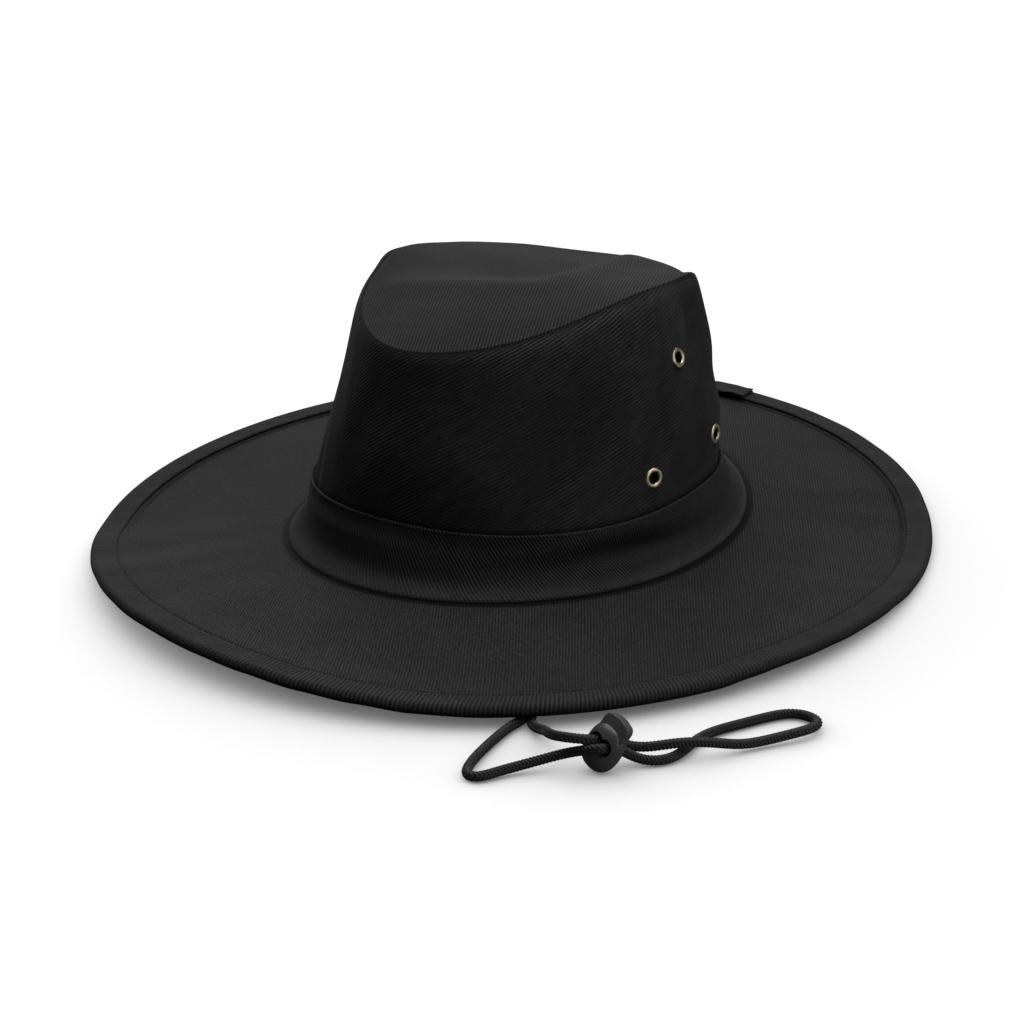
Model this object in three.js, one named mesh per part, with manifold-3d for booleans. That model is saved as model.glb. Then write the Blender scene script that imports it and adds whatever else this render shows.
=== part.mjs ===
// Wide-brim cotton hat with a stitched band, six vent eyelets and a chin cord with a sliding lock.
// Millimetres, +Z up. The front of the hat looks to -Y, the wearer's left is +X.
// The origin is on the resting surface, below the middle of the brim.

import * as THREE from 'three';
import { mergeVertices } from 'three/addons/utils/BufferGeometryUtils.js';
import Module from 'manifold-3d';

const wasm = await Module();
wasm.setup();

const DEG = Math.PI / 180;

// Cloth
const SEGMENTS = 60;
const GAP = 0.3;
const WALL = 1.8;
const BRIM_THICKNESS = 2.2;

// Ovals seen from above: centre, half-lengths to the front and the back, half-width, corner power
const BRIM_EDGE = { x: 0, y: 0, front: 186, back: 186, side: 171.5, power: 2.03 };
const BRIM_SEAM = { x: 0.5, y: 2, front: 112.2, back: 112.2, side: 89.3, power: 2.0 };
const BAND_TOP = { x: 0.5, y: -1, front: 91.6, back: 91.6, side: 79, power: 2.2 };
const PANEL_SEAM = { x: 0.8, y: 7.7, front: 90, back: 88.5, side: 58.9, power: 1.8 };

// Heights of the seams as the hat sags: mean, and waves once and twice round it
const BRIM_SEAM_HEIGHT = { mean: 12.8, cos: 1.0, sin: 0.7, cos2: 2.85 };
const BAND_TOP_HEIGHT = { mean: 35.7, cos: 2.2, sin: 0.8, cos2: 2.0 };
const PANEL_SEAM_HEIGHT = { mean: 111.3, cos: 4.3, sin: 0.9, cos2: -7.3 };

// The panel's soft corner on the wearer's left, towards the back
const CORNER = { angle: 125, spread: 13, reach: 3.5 };

// How far the crown wall swells out at mid height, how it leans between its lower and upper half,
// and how far it stands out below the rounded shoulder at the panel seam
const SWELL = { mean: 2.5, cos: -0.6, sin: 0.3, cos2: -0.2, sin2: 0.4, cos3: 0.8, sin3: 0.9 };
const LEAN = { mean: -0.1, cos: 0.3, sin: 0.3, cos2: 0.5, sin2: -0.6 };
const SHOULDER = { mean: 5.1, cos: -0.9, sin: -1.2, cos2: -2.2, sin2: 1.6 };
const SHOULDER_RISE = 2;
const SHOULDER_TURN = 12;
const WALL_ROWS = [0, 0.17, 0.34, 0.51, 0.68, 0.83, 0.94, 1];
const WALL_TUCK = 6;

// Top panel: height in the middle, how late it falls to the rim, and the dent behind its crest
const PANEL_HEIGHT = 118;
const PANEL_POWER = 2.5;
const PANEL_ROWS = 6;
const DENT = { x: -8, halfWidth: 15, start: -22, full: 34, depth: 9, rimPower: 8 };

// Hat band: a nearly upright strip that flares out to the brim seam
const BAND_ROWS = [0, 0.16, 0.45, 1];
const BAND_FLARE = 2.2;
const BAND_FOOT = 3.6;

// Brim and its folded hem
const BRIM_ROWS = [0, 0.25, 0.6, 1];
const BRIM_SAG = 1.35;
const BRIM_TUCK = 4.6;
const HEM_WIDTH = 11;
const HEM_FLAT = 13;
const HEM_HEIGHT = 4.8;
const HEM_CLOTH = 1.0;
const HEM_BACK = 1.4;
const HEM_ROUND = 1.8;

// Height of the hem's underside round the brim; it lies on the surface where this is 0
const HEM_LIFT = [
  { angle: 0, lift: 6.7 }, { angle: 15, lift: 5.2 }, { angle: 30, lift: 4.4 }, { angle: 45, lift: 4.4 },
  { angle: 60, lift: 4.0 }, { angle: 75, lift: 3.0 }, { angle: 90, lift: 1.6 }, { angle: 105, lift: 0 },
  { angle: 120, lift: 0 }, { angle: 135, lift: 1.6 }, { angle: 150, lift: 4.4 }, { angle: 165, lift: 6.4 },
  { angle: 180, lift: 7.0 }, { angle: 195, lift: 4.0 }, { angle: 210, lift: 1.0 }, { angle: 225, lift: 0 },
  { angle: 300, lift: 0 }, { angle: 315, lift: 3.6 }, { angle: 330, lift: 7.6 }, { angle: 345, lift: 8.0 },
  { angle: 360, lift: 6.7 },
];

// Vent eyelets: angle from the front, and height as a share of the crown wall
const EYELETS = [
  { name: 'top', angle: 96.5, share: 0.69 },
  { name: 'back', angle: 121, share: 0.18 },
  { name: 'front', angle: 81, share: 0.15 },
];
const EYELET_SIDES = 12;
const EYELET_FREE = 0.45;
const EYELET_HOLE = 2.3;
const EYELET_TUBE = 2.9;
const EYELET_FLANGE = 4.3;
const EYELET_BACK = 3.9;
const WALL_HOLE = 3.25;

// Blank folded tab sewn on the hem at the back
const TAB = { width: 20, depth: 10.5, thickness: 1.2, inset: 2.6, corner: 1 };

// Chin cord and its lock
const CORD_DIAMETER = 4;
const CORD_SIDES = 8;
const CORD_STEPS = 80;
const CORD_BEND_WEIGHT = 9;
const LOCK_CENTRE = new THREE.Vector3(146.2, -159.2, 10.4);
const LOCK_TURN = 84;
const LOCK_TILT = 22;
const LOCK_ROLL = 22;
const STRAND_OFFSET = 2.5;

const LOCK_HALF = { thickness: 5.0, width: 7.5, height: 9.4 };
const LOCK_POWER = 2.5;
const LOCK_DROP = 1;
const STRAND_HOLE = 2.6;
const STRAND_FLARE = 3.8;
const STRAND_STRAIGHT = 2;
const PLUNGER = { width: 11.6, thickness: 4.2, foot: 1.1, top: 11.8, dome: 1.8 };
const PLUNGER_STROKE = 2.2;
const PLUNGER_FREE = 0.3;
const WINDOW_HALF = 2.5;

// Directions of the lock: along its strand holes, across both strands, and along its plunger
const up = new THREE.Vector3(0, 0, 1);
const plungerAxis = new THREE.Vector3(0, 0, 1);
const holeAxis = new THREE.Vector3(1, 0, 0);
const sideAxis = new THREE.Vector3(0, 1, 0);
for (const axis of [plungerAxis, holeAxis, sideAxis]) {
  axis.applyAxisAngle(new THREE.Vector3(1, 0, 0), LOCK_ROLL * DEG);
  axis.applyAxisAngle(new THREE.Vector3(0, 1, 0), LOCK_TILT * DEG);
  axis.applyAxisAngle(up, LOCK_TURN * DEG);
}

// A point on the axis of one strand hole, some way along it from the lock's middle
function inHole(along, side) {
  return LOCK_CENTRE.clone().addScaledVector(holeAxis, along)
    .addScaledVector(sideAxis, side * STRAND_OFFSET);
}

// Route of the cord's centre line: from inside the band on the wearer's right, under the brim,
// out in front, through the lock, round the loop and over itself, back through the lock and in
// on the wearer's left
const at = (x, y, z) => new THREE.Vector3(x, y, z);
const CORD_ROUTE = [
  at(-75.8, 0, 24), at(-75.8, -1, 11), at(-73, -14, 2.1), at(-46, -41, 2.1),
  at(10, -80, 2.1), at(70, -114, 2.1), at(102.5, -138.5, 2.1), at(101.5, -154.5, 2.1),
  at(102.5, -172, 2.1), at(101, -186.5, 2.1), at(109, -192, 2.1), at(117.5, -189, 2.9),
  at(120.5, -180.5, 3.0), at(126.5, -170.5, 2.6), at(138.5, -171.5, 10.4),
  inHole(-7, -1), inHole(0, -1), inHole(7, -1),
  at(155.5, -149, 1.6), at(166, -141.5, 2.5), at(161, -119.5, 2.1), at(171, -102, 2.1),
  at(179.5, -83.5, 2.1), at(191.5, -83.5, 2.1), at(197, -93, 3.9), at(189.5, -104, 3.2),
  at(180, -118.5, 2.1), at(173, -129, 6.4), at(163, -138.5, 7.4), at(152.5, -146.5, 4.8),
  inHole(7, 1), inHole(0, 1), inHole(-7, 1),
  at(129.5, -170.5, 14.6), at(115.5, -147, 2.6), at(107.5, -149, 2.1), at(99.5, -130.5, 2.1),
  at(86, -60, 2.1), at(75.8, -1, 8), at(75.8, 0, 24),
];

// Materials
const twill = new THREE.MeshStandardMaterial({ color: 0x1d1d1f, roughness: 0.95, metalness: 0 });
const brass = new THREE.MeshStandardMaterial({ color: 0x6b5a3c, roughness: 0.45, metalness: 1 });
const braid = new THREE.MeshStandardMaterial({ color: 0x141416, roughness: 0.8, metalness: 0 });
const plastic = new THREE.MeshStandardMaterial({ color: 0x101012, roughness: 0.4, metalness: 0 });
const label = new THREE.MeshStandardMaterial({ color: 0x222224, roughness: 0.9, metalness: 0 });

// A point of an oval at an angle from the front, moved in towards its middle
function ovalPoint(theta, oval, inset = 0) {
  const forward = Math.cos(theta);
  const sideways = Math.sin(theta);
  const half = forward > 0 ? oval.front : oval.back;
  const sum = Math.abs(forward / half) ** oval.power + Math.abs(sideways / oval.side) ** oval.power;
  const radius = sum ** (-1 / oval.power) - inset;
  return at(oval.x + radius * sideways, oval.y - radius * forward, 0);
}

function wave(theta, w) {
  const twice = w.cos2 * Math.cos(2 * theta) + (w.sin2 ?? 0) * Math.sin(2 * theta);
  const thrice = (w.cos3 ?? 0) * Math.cos(3 * theta) + (w.sin3 ?? 0) * Math.sin(3 * theta);
  return w.mean + w.cos * Math.cos(theta) + w.sin * Math.sin(theta) + twice + thrice;
}

const ease = (t) => t * t * (3 - 2 * t);

function hemLift(theta) {
  const degrees = ((theta / DEG) % 360 + 360) % 360;
  const next = HEM_LIFT.findIndex((row) => row.angle > degrees);
  const from = HEM_LIFT[next - 1];
  const to = HEM_LIFT[next];
  const t = (degrees - from.angle) / (to.angle - from.angle);
  return from.lift + (to.lift - from.lift) * ease(t);
}

// Seam between the crown wall and the top panel
function panelSeam(theta) {
  const from = Math.abs(theta / DEG - CORNER.angle) / CORNER.spread;
  const point = ovalPoint(theta, PANEL_SEAM, -CORNER.reach * Math.exp(-from * from));
  point.z = wave(theta, PANEL_SEAM_HEIGHT);
  return point;
}

// Outer face of the crown wall, from the band's top edge (0) to the panel seam (1)
function wallFace(theta, share) {
  const foot = ovalPoint(theta, BAND_TOP, WALL + GAP);
  foot.z = wave(theta, BAND_TOP_HEIGHT);
  const head = panelSeam(theta);
  head.z -= WALL + GAP;
  const shoulder = share ** SHOULDER_RISE * Math.sqrt(Math.max(0, 1 - share ** SHOULDER_TURN));
  const out = wave(theta, SWELL) * Math.sin(Math.PI * share) + wave(theta, LEAN) * Math.sin(2 * Math.PI * share)
    + wave(theta, SHOULDER) * shoulder;
  return foot.lerp(head, share).add(at(Math.sin(theta) * out, -Math.cos(theta) * out, 0));
}

// Outer face of the band, from the brim seam (0) to its top edge (1)
function bandFace(theta, share) {
  const foot = ovalPoint(theta, BRIM_SEAM);
  const head = ovalPoint(theta, BAND_TOP);
  const point = head.clone().lerp(foot, (1 - share) ** BAND_FLARE);
  point.z = THREE.MathUtils.lerp(wave(theta, BRIM_SEAM_HEIGHT), wave(theta, BAND_TOP_HEIGHT), share);
  return point;
}

function faceNormal(face, theta, share) {
  const step = 0.01;
  const round = face(theta + step, share).sub(face(theta - step, share));
  const rise = face(theta, share + step).sub(face(theta, share - step));
  return round.cross(rise).normalize();
}

const inward = (theta) => at(-Math.sin(theta), Math.cos(theta), 0);

// Turns a set of points and triangles into a geometry whose faces point out
function solidGeometry(points, triangles) {
  let volume = 0;
  for (const [a, b, c] of triangles) {
    volume += points[a].dot(new THREE.Vector3().crossVectors(points[b], points[c]));
  }
  const index = triangles.flatMap(([a, b, c]) => (volume > 0 ? [a, b, c] : [a, c, b]));
  const geometry = new THREE.BufferGeometry().setFromPoints(points);
  geometry.setIndex(index);
  geometry.computeVertexNormals();
  return geometry;
}

// A closed ring: the same closed section at every angle, joined all the way round
function ringGeometry(sectionAt) {
  const points = [];
  const triangles = [];
  let size = 0;
  for (let k = 0; k < SEGMENTS; k += 1) {
    const section = sectionAt((k / SEGMENTS) * 2 * Math.PI);
    size = section.length;
    points.push(...section);
  }
  for (let k = 0; k < SEGMENTS; k += 1) {
    for (let j = 0; j < size; j += 1) {
      const a = k * size + j;
      const b = k * size + ((j + 1) % size);
      const c = ((k + 1) % SEGMENTS) * size + j;
      const d = ((k + 1) % SEGMENTS) * size + ((j + 1) % size);
      triangles.push([a, b, d], [a, d, c]);
    }
  }
  return solidGeometry(points, triangles);
}

// A closed dome: rings of points between two poles
function domeGeometry(rings, firstPole, lastPole) {
  const points = [firstPole, lastPole, ...rings.flat()];
  const triangles = [];
  const vertex = (row, k) => 2 + row * SEGMENTS + (k % SEGMENTS);
  const last = rings.length - 1;
  for (let k = 0; k < SEGMENTS; k += 1) {
    triangles.push([0, vertex(0, k), vertex(0, k + 1)]);
    triangles.push([1, vertex(last, k + 1), vertex(last, k)]);
    for (let row = 0; row < last; row += 1) {
      triangles.push([vertex(row, k), vertex(row + 1, k), vertex(row + 1, k + 1)]);
      triangles.push([vertex(row, k), vertex(row + 1, k + 1), vertex(row, k + 1)]);
    }
  }
  return solidGeometry(points, triangles);
}

function toManifold(geometry) {
  const bare = geometry.clone();
  for (const name of Object.keys(bare.attributes)) {
    if (name !== 'position') {
      bare.deleteAttribute(name);
    }
  }
  const merged = mergeVertices(bare, 1e-4);
  return new wasm.Manifold(new wasm.Mesh({
    numProp: 3,
    vertProperties: new Float32Array(merged.attributes.position.array),
    triVerts: new Uint32Array(merged.index.array),
  }));
}

function fromManifold(solid) {
  const mesh = solid.getMesh();
  const geometry = new THREE.BufferGeometry();
  geometry.setAttribute('position', new THREE.BufferAttribute(mesh.vertProperties, 3));
  geometry.setIndex(new THREE.BufferAttribute(mesh.triVerts, 1));
  geometry.computeVertexNormals();
  return geometry;
}

function cut(geometry, cutters) {
  let solid = toManifold(geometry);
  for (const cutter of cutters) {
    solid = solid.subtract(toManifold(cutter));
  }
  return fromManifold(solid);
}

function piece(name, geometry, material) {
  const mesh = new THREE.Mesh(geometry, material);
  mesh.name = name;
  return mesh;
}

// Turning and moving a shape that is drawn round the Z axis to a place and direction
function placed(position, x, y, z) {
  return new THREE.Matrix4().makeBasis(x, y, z).setPosition(position);
}

// Crown wall
function crownWallSection(theta) {
  const outer = [];
  const inner = [];
  for (const share of WALL_ROWS) {
    const point = wallFace(theta, share);
    const atEdge = share === 0 || share === 1;
    const back = atEdge ? inward(theta) : faceNormal(wallFace, theta, share).negate();
    outer.push(point);
    inner.push(point.clone().addScaledVector(back, WALL));
  }
  const tuck = at(0, 0, -WALL_TUCK);
  outer.unshift(outer[0].clone().add(tuck));
  inner.unshift(inner[0].clone().add(tuck));
  return [...outer, ...inner.reverse()];
}

// Where an eyelet sits: its middle on the wall's outer face and its outward direction.
// The wearer's right side mirrors the left.
function eyeletFrame(eyelet, side) {
  const theta = (side > 0 ? eyelet.angle : 360 - eyelet.angle) * DEG;
  const position = wallFace(theta, eyelet.share);
  const z = faceNormal(wallFace, theta, eyelet.share);
  const y = up.clone().addScaledVector(z, -up.dot(z)).normalize();
  const x = new THREE.Vector3().crossVectors(y, z);
  return placed(position, x, y, z);
}

function wallHoleCutter(frame) {
  const cylinder = new THREE.CylinderGeometry(WALL_HOLE, WALL_HOLE, 6 * WALL, EYELET_SIDES);
  cylinder.rotateX(Math.PI / 2);
  return cylinder.applyMatrix4(frame);
}

function eyeletGeometry() {
  const back = -WALL - EYELET_FREE;
  const profile = [
    [EYELET_HOLE, back - 0.7], [EYELET_BACK, back - 0.7], [EYELET_BACK, back], [EYELET_TUBE, back],
    [EYELET_TUBE, EYELET_FREE], [EYELET_FLANGE, EYELET_FREE], [EYELET_FLANGE, EYELET_FREE + 0.4],
    [EYELET_TUBE + 0.5, EYELET_FREE + 0.9], [EYELET_HOLE, EYELET_FREE + 0.4], [EYELET_HOLE, back - 0.7],
  ];
  const geometry = new THREE.LatheGeometry(profile.map(([r, z]) => new THREE.Vector2(r, z)), EYELET_SIDES);
  return geometry.rotateX(Math.PI / 2);
}

// Top panel
function panelFace(theta, share) {
  const rim = panelSeam(theta);
  const middle = at(PANEL_SEAM.x, PANEL_SEAM.y, 0);
  const point = middle.lerp(rim, share);
  const fall = share ** PANEL_POWER;
  const across = (point.x - DENT.x) / DENT.halfWidth;
  const along = ease(THREE.MathUtils.clamp((point.y - DENT.start) / (DENT.full - DENT.start), 0, 1));
  const dent = DENT.depth * Math.exp(-across * across) * along * (1 - share ** DENT.rimPower);
  point.z = rim.z * fall + PANEL_HEIGHT * (1 - fall) - dent;
  return point;
}

function panelRing(share, drop) {
  const ring = [];
  for (let k = 0; k < SEGMENTS; k += 1) {
    const point = panelFace((k / SEGMENTS) * 2 * Math.PI, share);
    point.z -= drop;
    ring.push(point);
  }
  return ring;
}

function crownTopGeometry() {
  const shares = Array.from({ length: PANEL_ROWS }, (_, row) => (row + 1) / PANEL_ROWS);
  const top = shares.map((share) => panelRing(share, 0));
  const bottom = shares.map((share) => panelRing(share, WALL)).reverse();
  const pole = panelFace(0, 0);
  const lowPole = pole.clone();
  lowPole.z -= WALL;
  return domeGeometry([...top, ...bottom], pole, lowPole);
}

// Hat band
function hatBandSection(theta) {
  const outer = [];
  const inner = [];
  for (const share of BAND_ROWS) {
    const point = bandFace(theta, share);
    outer.push(point);
    if (share === 0) {
      inner.push(point.clone().addScaledVector(inward(theta), BAND_FOOT));
    } else if (share === 1) {
      inner.push(point.clone().addScaledVector(inward(theta), WALL));
    } else {
      inner.push(point.clone().addScaledVector(faceNormal(bandFace, theta, share), -WALL));
    }
  }
  return [...outer, ...inner.reverse()];
}

// Brim, from its inner edge tucked below the band to its outer edge inside the hem
function brimSection(theta) {
  const seam = ovalPoint(theta, BRIM_SEAM);
  seam.z = wave(theta, BRIM_SEAM_HEIGHT) - GAP;
  const flatHeight = hemLift(theta) + (HEM_HEIGHT + BRIM_THICKNESS) / 2;
  const hemStart = ovalPoint(theta, BRIM_EDGE, HEM_FLAT);
  const top = BRIM_ROWS.map((share) => {
    const point = seam.clone().lerp(hemStart, share);
    const fall = 1 - (1 - share) ** BRIM_SAG;
    point.z = THREE.MathUtils.lerp(seam.z, flatHeight, fall);
    return point;
  });
  top.unshift(seam.clone().addScaledVector(inward(theta), BRIM_TUCK));
  const edge = ovalPoint(theta, BRIM_EDGE, HEM_BACK + GAP);
  edge.z = flatHeight;
  top.push(edge);
  const bottom = top.map((point) => point.clone().add(at(0, 0, -BRIM_THICKNESS)));
  return [...top, ...bottom.reverse()];
}

// Folded hem: a band of cloth that wraps the brim's edge
function hemSection(theta) {
  const lift = hemLift(theta);
  const middle = HEM_HEIGHT / 2;
  const shoulder = { inset: 0.5, drop: 1.5 };
  const profile = [
    [HEM_WIDTH, 0], [HEM_ROUND, 0], [shoulder.inset, middle - shoulder.drop], [0, middle],
    [shoulder.inset, middle + shoulder.drop], [HEM_ROUND, HEM_HEIGHT], [HEM_WIDTH, HEM_HEIGHT],
    [HEM_WIDTH, HEM_HEIGHT - HEM_CLOTH], [HEM_BACK, HEM_HEIGHT - HEM_CLOTH],
    [HEM_BACK, HEM_CLOTH], [HEM_WIDTH, HEM_CLOTH],
  ];
  return profile.map(([inset, height]) => {
    const point = ovalPoint(theta, BRIM_EDGE, inset);
    point.z = lift + height;
    return point;
  });
}

// Blank tab at the back
function tabGeometry() {
  const w = TAB.width / 2 - TAB.corner;
  const d = TAB.depth / 2 - TAB.corner;
  const outline = new THREE.Shape();
  outline.absarc(w, d, TAB.corner, 0, Math.PI / 2);
  outline.absarc(-w, d, TAB.corner, Math.PI / 2, Math.PI);
  outline.absarc(-w, -d, TAB.corner, Math.PI, 1.5 * Math.PI);
  outline.absarc(w, -d, TAB.corner, 1.5 * Math.PI, 2 * Math.PI);
  return new THREE.ExtrudeGeometry(outline, { depth: TAB.thickness, bevelEnabled: false, curveSegments: 3 });
}

// The cord's centre line is one smooth B-spline, with its sections closer together in the bends
class CordCurve extends THREE.Curve {
  constructor(route) {
    super();
    const first = route[0].clone().multiplyScalar(2).sub(route[1]);
    const last = route.at(-1).clone().multiplyScalar(2).sub(route.at(-2));
    this.controls = [first, ...route, last];
    this.arcLengthDivisions = 2000;
    this.stations = this.spread();
  }

  getPoint(t, target = new THREE.Vector3()) {
    const spans = this.controls.length - 3;
    const span = Math.min(Math.floor(t * spans), spans - 1);
    const u = t * spans - span;
    const weights = [(1 - u) ** 3, 3 * u ** 3 - 6 * u * u + 4, -3 * u ** 3 + 3 * u * u + 3 * u + 1, u ** 3];
    target.set(0, 0, 0);
    weights.forEach((weight, i) => target.addScaledVector(this.controls[span + i], weight / 6));
    return target;
  }

  // Running total of length plus turning along the curve
  spread() {
    const samples = this.arcLengthDivisions;
    const totals = [0];
    let before = this.getPoint(0);
    let heading = null;
    for (let i = 1; i <= samples; i += 1) {
      const point = this.getPoint(i / samples);
      const step = point.clone().sub(before);
      const turn = heading ? heading.angleTo(step) : 0;
      totals.push(totals.at(-1) + step.length() + CORD_BEND_WEIGHT * turn);
      before = point;
      heading = step;
    }
    return totals;
  }

  getUtoTmapping(u) {
    const totals = this.stations;
    const wanted = u * totals.at(-1);
    const next = Math.max(1, totals.findIndex((total) => total >= wanted));
    const part = (wanted - totals[next - 1]) / (totals[next] - totals[next - 1]);
    return (next - 1 + part) / (totals.length - 1);
  }
}

function cordGeometry() {
  const section = new THREE.Shape();
  section.absarc(0, 0, CORD_DIAMETER / 2, 0, 2 * Math.PI);
  return new THREE.ExtrudeGeometry(section, {
    steps: CORD_STEPS,
    curveSegments: CORD_SIDES / 2,
    extrudePath: new CordCurve(CORD_ROUTE),
  });
}

// Lock body: a rounded block with a slot for the plunger and two holes for the strands.
// It is drawn with X along the holes, Y across the strands and Z along the plunger.
function lockBodyGeometry() {
  const block = new THREE.SphereGeometry(1, 18, 12);
  block.rotateX(Math.PI / 2);
  const place = block.attributes.position;
  for (let i = 0; i < place.count; i += 1) {
    const v = at(place.getX(i), place.getY(i), place.getZ(i));
    const sum = Math.abs(v.x) ** LOCK_POWER + Math.abs(v.y) ** LOCK_POWER + Math.abs(v.z) ** LOCK_POWER;
    const size = sum ** (-1 / LOCK_POWER);
    const x = v.x * size * LOCK_HALF.thickness;
    const y = v.y * size * LOCK_HALF.width;
    place.setXYZ(i, x, y, v.z * size * LOCK_HALF.height - LOCK_DROP);
  }
  const slotFloor = -WINDOW_HALF - PLUNGER.foot - PLUNGER_STROKE - PLUNGER_FREE;
  const slotHeight = 2 * LOCK_HALF.height;
  const slot = new THREE.BoxGeometry(
    PLUNGER.thickness + 2 * PLUNGER_FREE,
    PLUNGER.width + 2 * PLUNGER_FREE,
    slotHeight,
  );
  slot.translate(0, 0, slotFloor + slotHeight / 2);
  const cutters = [slot];
  for (const side of [-1, 1]) {
    const end = LOCK_HALF.thickness + 0.2;
    const profile = [
      [0, -end], [STRAND_FLARE, -end], [STRAND_HOLE, -STRAND_STRAIGHT],
      [STRAND_HOLE, STRAND_STRAIGHT], [STRAND_FLARE, end], [0, end],
    ];
    const hole = new THREE.LatheGeometry(profile.map(([r, z]) => new THREE.Vector2(r, z)), 12);
    hole.rotateZ(-Math.PI / 2);
    hole.translate(0, side * STRAND_OFFSET, 0);
    cutters.push(hole);
  }
  return cut(block, cutters);
}

// Plunger: a plate with a domed head and one long window that pinches both strands
function plungerGeometry() {
  const half = PLUNGER.width / 2;
  const foot = -WINDOW_HALF - PLUNGER.foot;
  const shoulder = PLUNGER.top - PLUNGER.dome;
  const outline = new THREE.Shape();
  outline.moveTo(-half, foot);
  outline.lineTo(half, foot);
  outline.lineTo(half, shoulder);
  outline.quadraticCurveTo(half, PLUNGER.top, half - 2 * PLUNGER.dome, PLUNGER.top);
  outline.lineTo(-half + 2 * PLUNGER.dome, PLUNGER.top);
  outline.quadraticCurveTo(-half, PLUNGER.top, -half, shoulder);
  outline.closePath();
  const window = new THREE.Path();
  window.absarc(STRAND_OFFSET, 0, WINDOW_HALF, -Math.PI / 2, 0);
  window.absarc(STRAND_OFFSET, PLUNGER_STROKE, WINDOW_HALF, 0, Math.PI / 2);
  window.absarc(-STRAND_OFFSET, PLUNGER_STROKE, WINDOW_HALF, Math.PI / 2, Math.PI);
  window.absarc(-STRAND_OFFSET, 0, WINDOW_HALF, Math.PI, 1.5 * Math.PI);
  window.closePath();
  outline.holes.push(window);
  const plate = new THREE.ExtrudeGeometry(outline, {
    depth: PLUNGER.thickness,
    bevelEnabled: false,
    curveSegments: 5,
  });
  plate.translate(0, 0, -PLUNGER.thickness / 2);
  const plateFrame = placed(at(0, 0, 0), at(0, 1, 0), at(0, 0, 1), at(1, 0, 0));
  return plate.applyMatrix4(plateFrame);
}

// The hat
const group = new THREE.Group();

const eyeletSides = [{ word: 'left', side: 1 }, { word: 'right', side: -1 }];
const eyeletPlaces = eyeletSides.flatMap(({ word, side }) => EYELETS.map((eyelet) => ({
  name: `eyelet_${word}_${eyelet.name}`,
  frame: eyeletFrame(eyelet, side),
})));

group.add(piece('crown_top', crownTopGeometry(), twill));
const wallHoles = eyeletPlaces.map((place) => wallHoleCutter(place.frame));
group.add(piece('crown_wall', cut(ringGeometry(crownWallSection), wallHoles), twill));
group.add(piece('hat_band', ringGeometry(hatBandSection), twill));
group.add(piece('brim', ringGeometry(brimSection), twill));
group.add(piece('brim_hem', ringGeometry(hemSection), twill));

for (const place of eyeletPlaces) {
  const eyelet = piece(place.name, eyeletGeometry(), brass);
  eyelet.applyMatrix4(place.frame);
  group.add(eyelet);
}

const tab = piece('back_tab', tabGeometry(), label);
const tabMiddle = BRIM_EDGE.back - TAB.inset - TAB.depth / 2;
tab.position.set(0, tabMiddle, hemLift(Math.PI) + HEM_HEIGHT + GAP);
group.add(tab);

group.add(piece('chin_cord', cordGeometry(), braid));

const lock = new THREE.Group();
lock.applyMatrix4(placed(LOCK_CENTRE, holeAxis, sideAxis, plungerAxis));
lock.add(piece('lock_body', lockBodyGeometry(), plastic));
lock.add(piece('lock_plunger', plungerGeometry(), plastic));
group.add(lock);

export default group;
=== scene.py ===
import math

import bpy
import numpy as np
from mathutils import Matrix, Vector


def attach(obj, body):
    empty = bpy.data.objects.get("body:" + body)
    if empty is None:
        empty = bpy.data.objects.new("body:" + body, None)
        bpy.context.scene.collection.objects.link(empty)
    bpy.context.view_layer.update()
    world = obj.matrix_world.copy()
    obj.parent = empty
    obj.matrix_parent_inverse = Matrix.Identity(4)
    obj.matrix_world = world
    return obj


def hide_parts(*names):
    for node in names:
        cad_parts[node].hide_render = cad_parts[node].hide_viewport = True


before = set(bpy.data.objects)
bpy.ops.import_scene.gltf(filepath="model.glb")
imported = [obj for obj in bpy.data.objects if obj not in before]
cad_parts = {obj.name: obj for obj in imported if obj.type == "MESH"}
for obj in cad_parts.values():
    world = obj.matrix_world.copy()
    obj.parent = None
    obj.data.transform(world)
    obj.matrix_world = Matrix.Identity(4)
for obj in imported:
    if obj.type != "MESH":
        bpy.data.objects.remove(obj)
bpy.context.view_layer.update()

# Everything below is drawn in millimetres in the frame of the CAD part, and written to Blender in metres.
MM = 0.001
DEG = math.pi / 180
TURN = 2 * math.pi

# Camera at the photograph's angle
CAMERA = {
    "azimuth": 34.0, "elevation": 23.2, "distance": 1.3, "lens": 107.7, "shift_x": -0.0039, "shift_y": 0.0240,
}

# The hat's ovals and waves. They are the part's own, but for the corners, the local bends of the seams and
# the hem's lift, which follow the photograph more closely here.
GAP = 0.3
WALL = 1.8
BRIM_THICKNESS = 2.2
BRIM_EDGE = {"x": 0, "y": 0, "front": 186, "back": 186, "side": 171.5, "power": 2.03}
BRIM_SEAM = {"x": 0.5, "y": 2, "front": 112.2, "back": 112.2, "side": 89.3, "power": 2.0}
BAND_TOP = {"x": 0.5, "y": -1, "front": 91.6, "back": 91.6, "side": 79, "power": 2.2}
PANEL_SEAM = {"x": 0.8, "y": 7.7, "front": 90, "back": 88.5, "side": 58.9, "power": 1.8}
BRIM_SEAM_HEIGHT = {"mean": 12.8, "cos": 1.0, "sin": 0.7, "cos2": 2.85}
BAND_TOP_HEIGHT = {"mean": 35.7, "cos": 2.2, "sin": 0.8, "cos2": 2.0}
PANEL_SEAM_HEIGHT = {"mean": 111.3, "cos": 4.3, "sin": 0.9, "cos2": -7.3}
CORNER = {"angle": 126, "spread": 12, "reach": 4.2, "lift": 3.4}
FAR_CORNER = {"angle": 284, "spread": 8, "reach": 1.2, "lift": 0.8}
SWELL = {"mean": 2.5, "cos": -0.6, "sin": 0.3, "cos2": -0.2, "sin2": 0.4, "cos3": 0.8, "sin3": 0.9}
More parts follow.
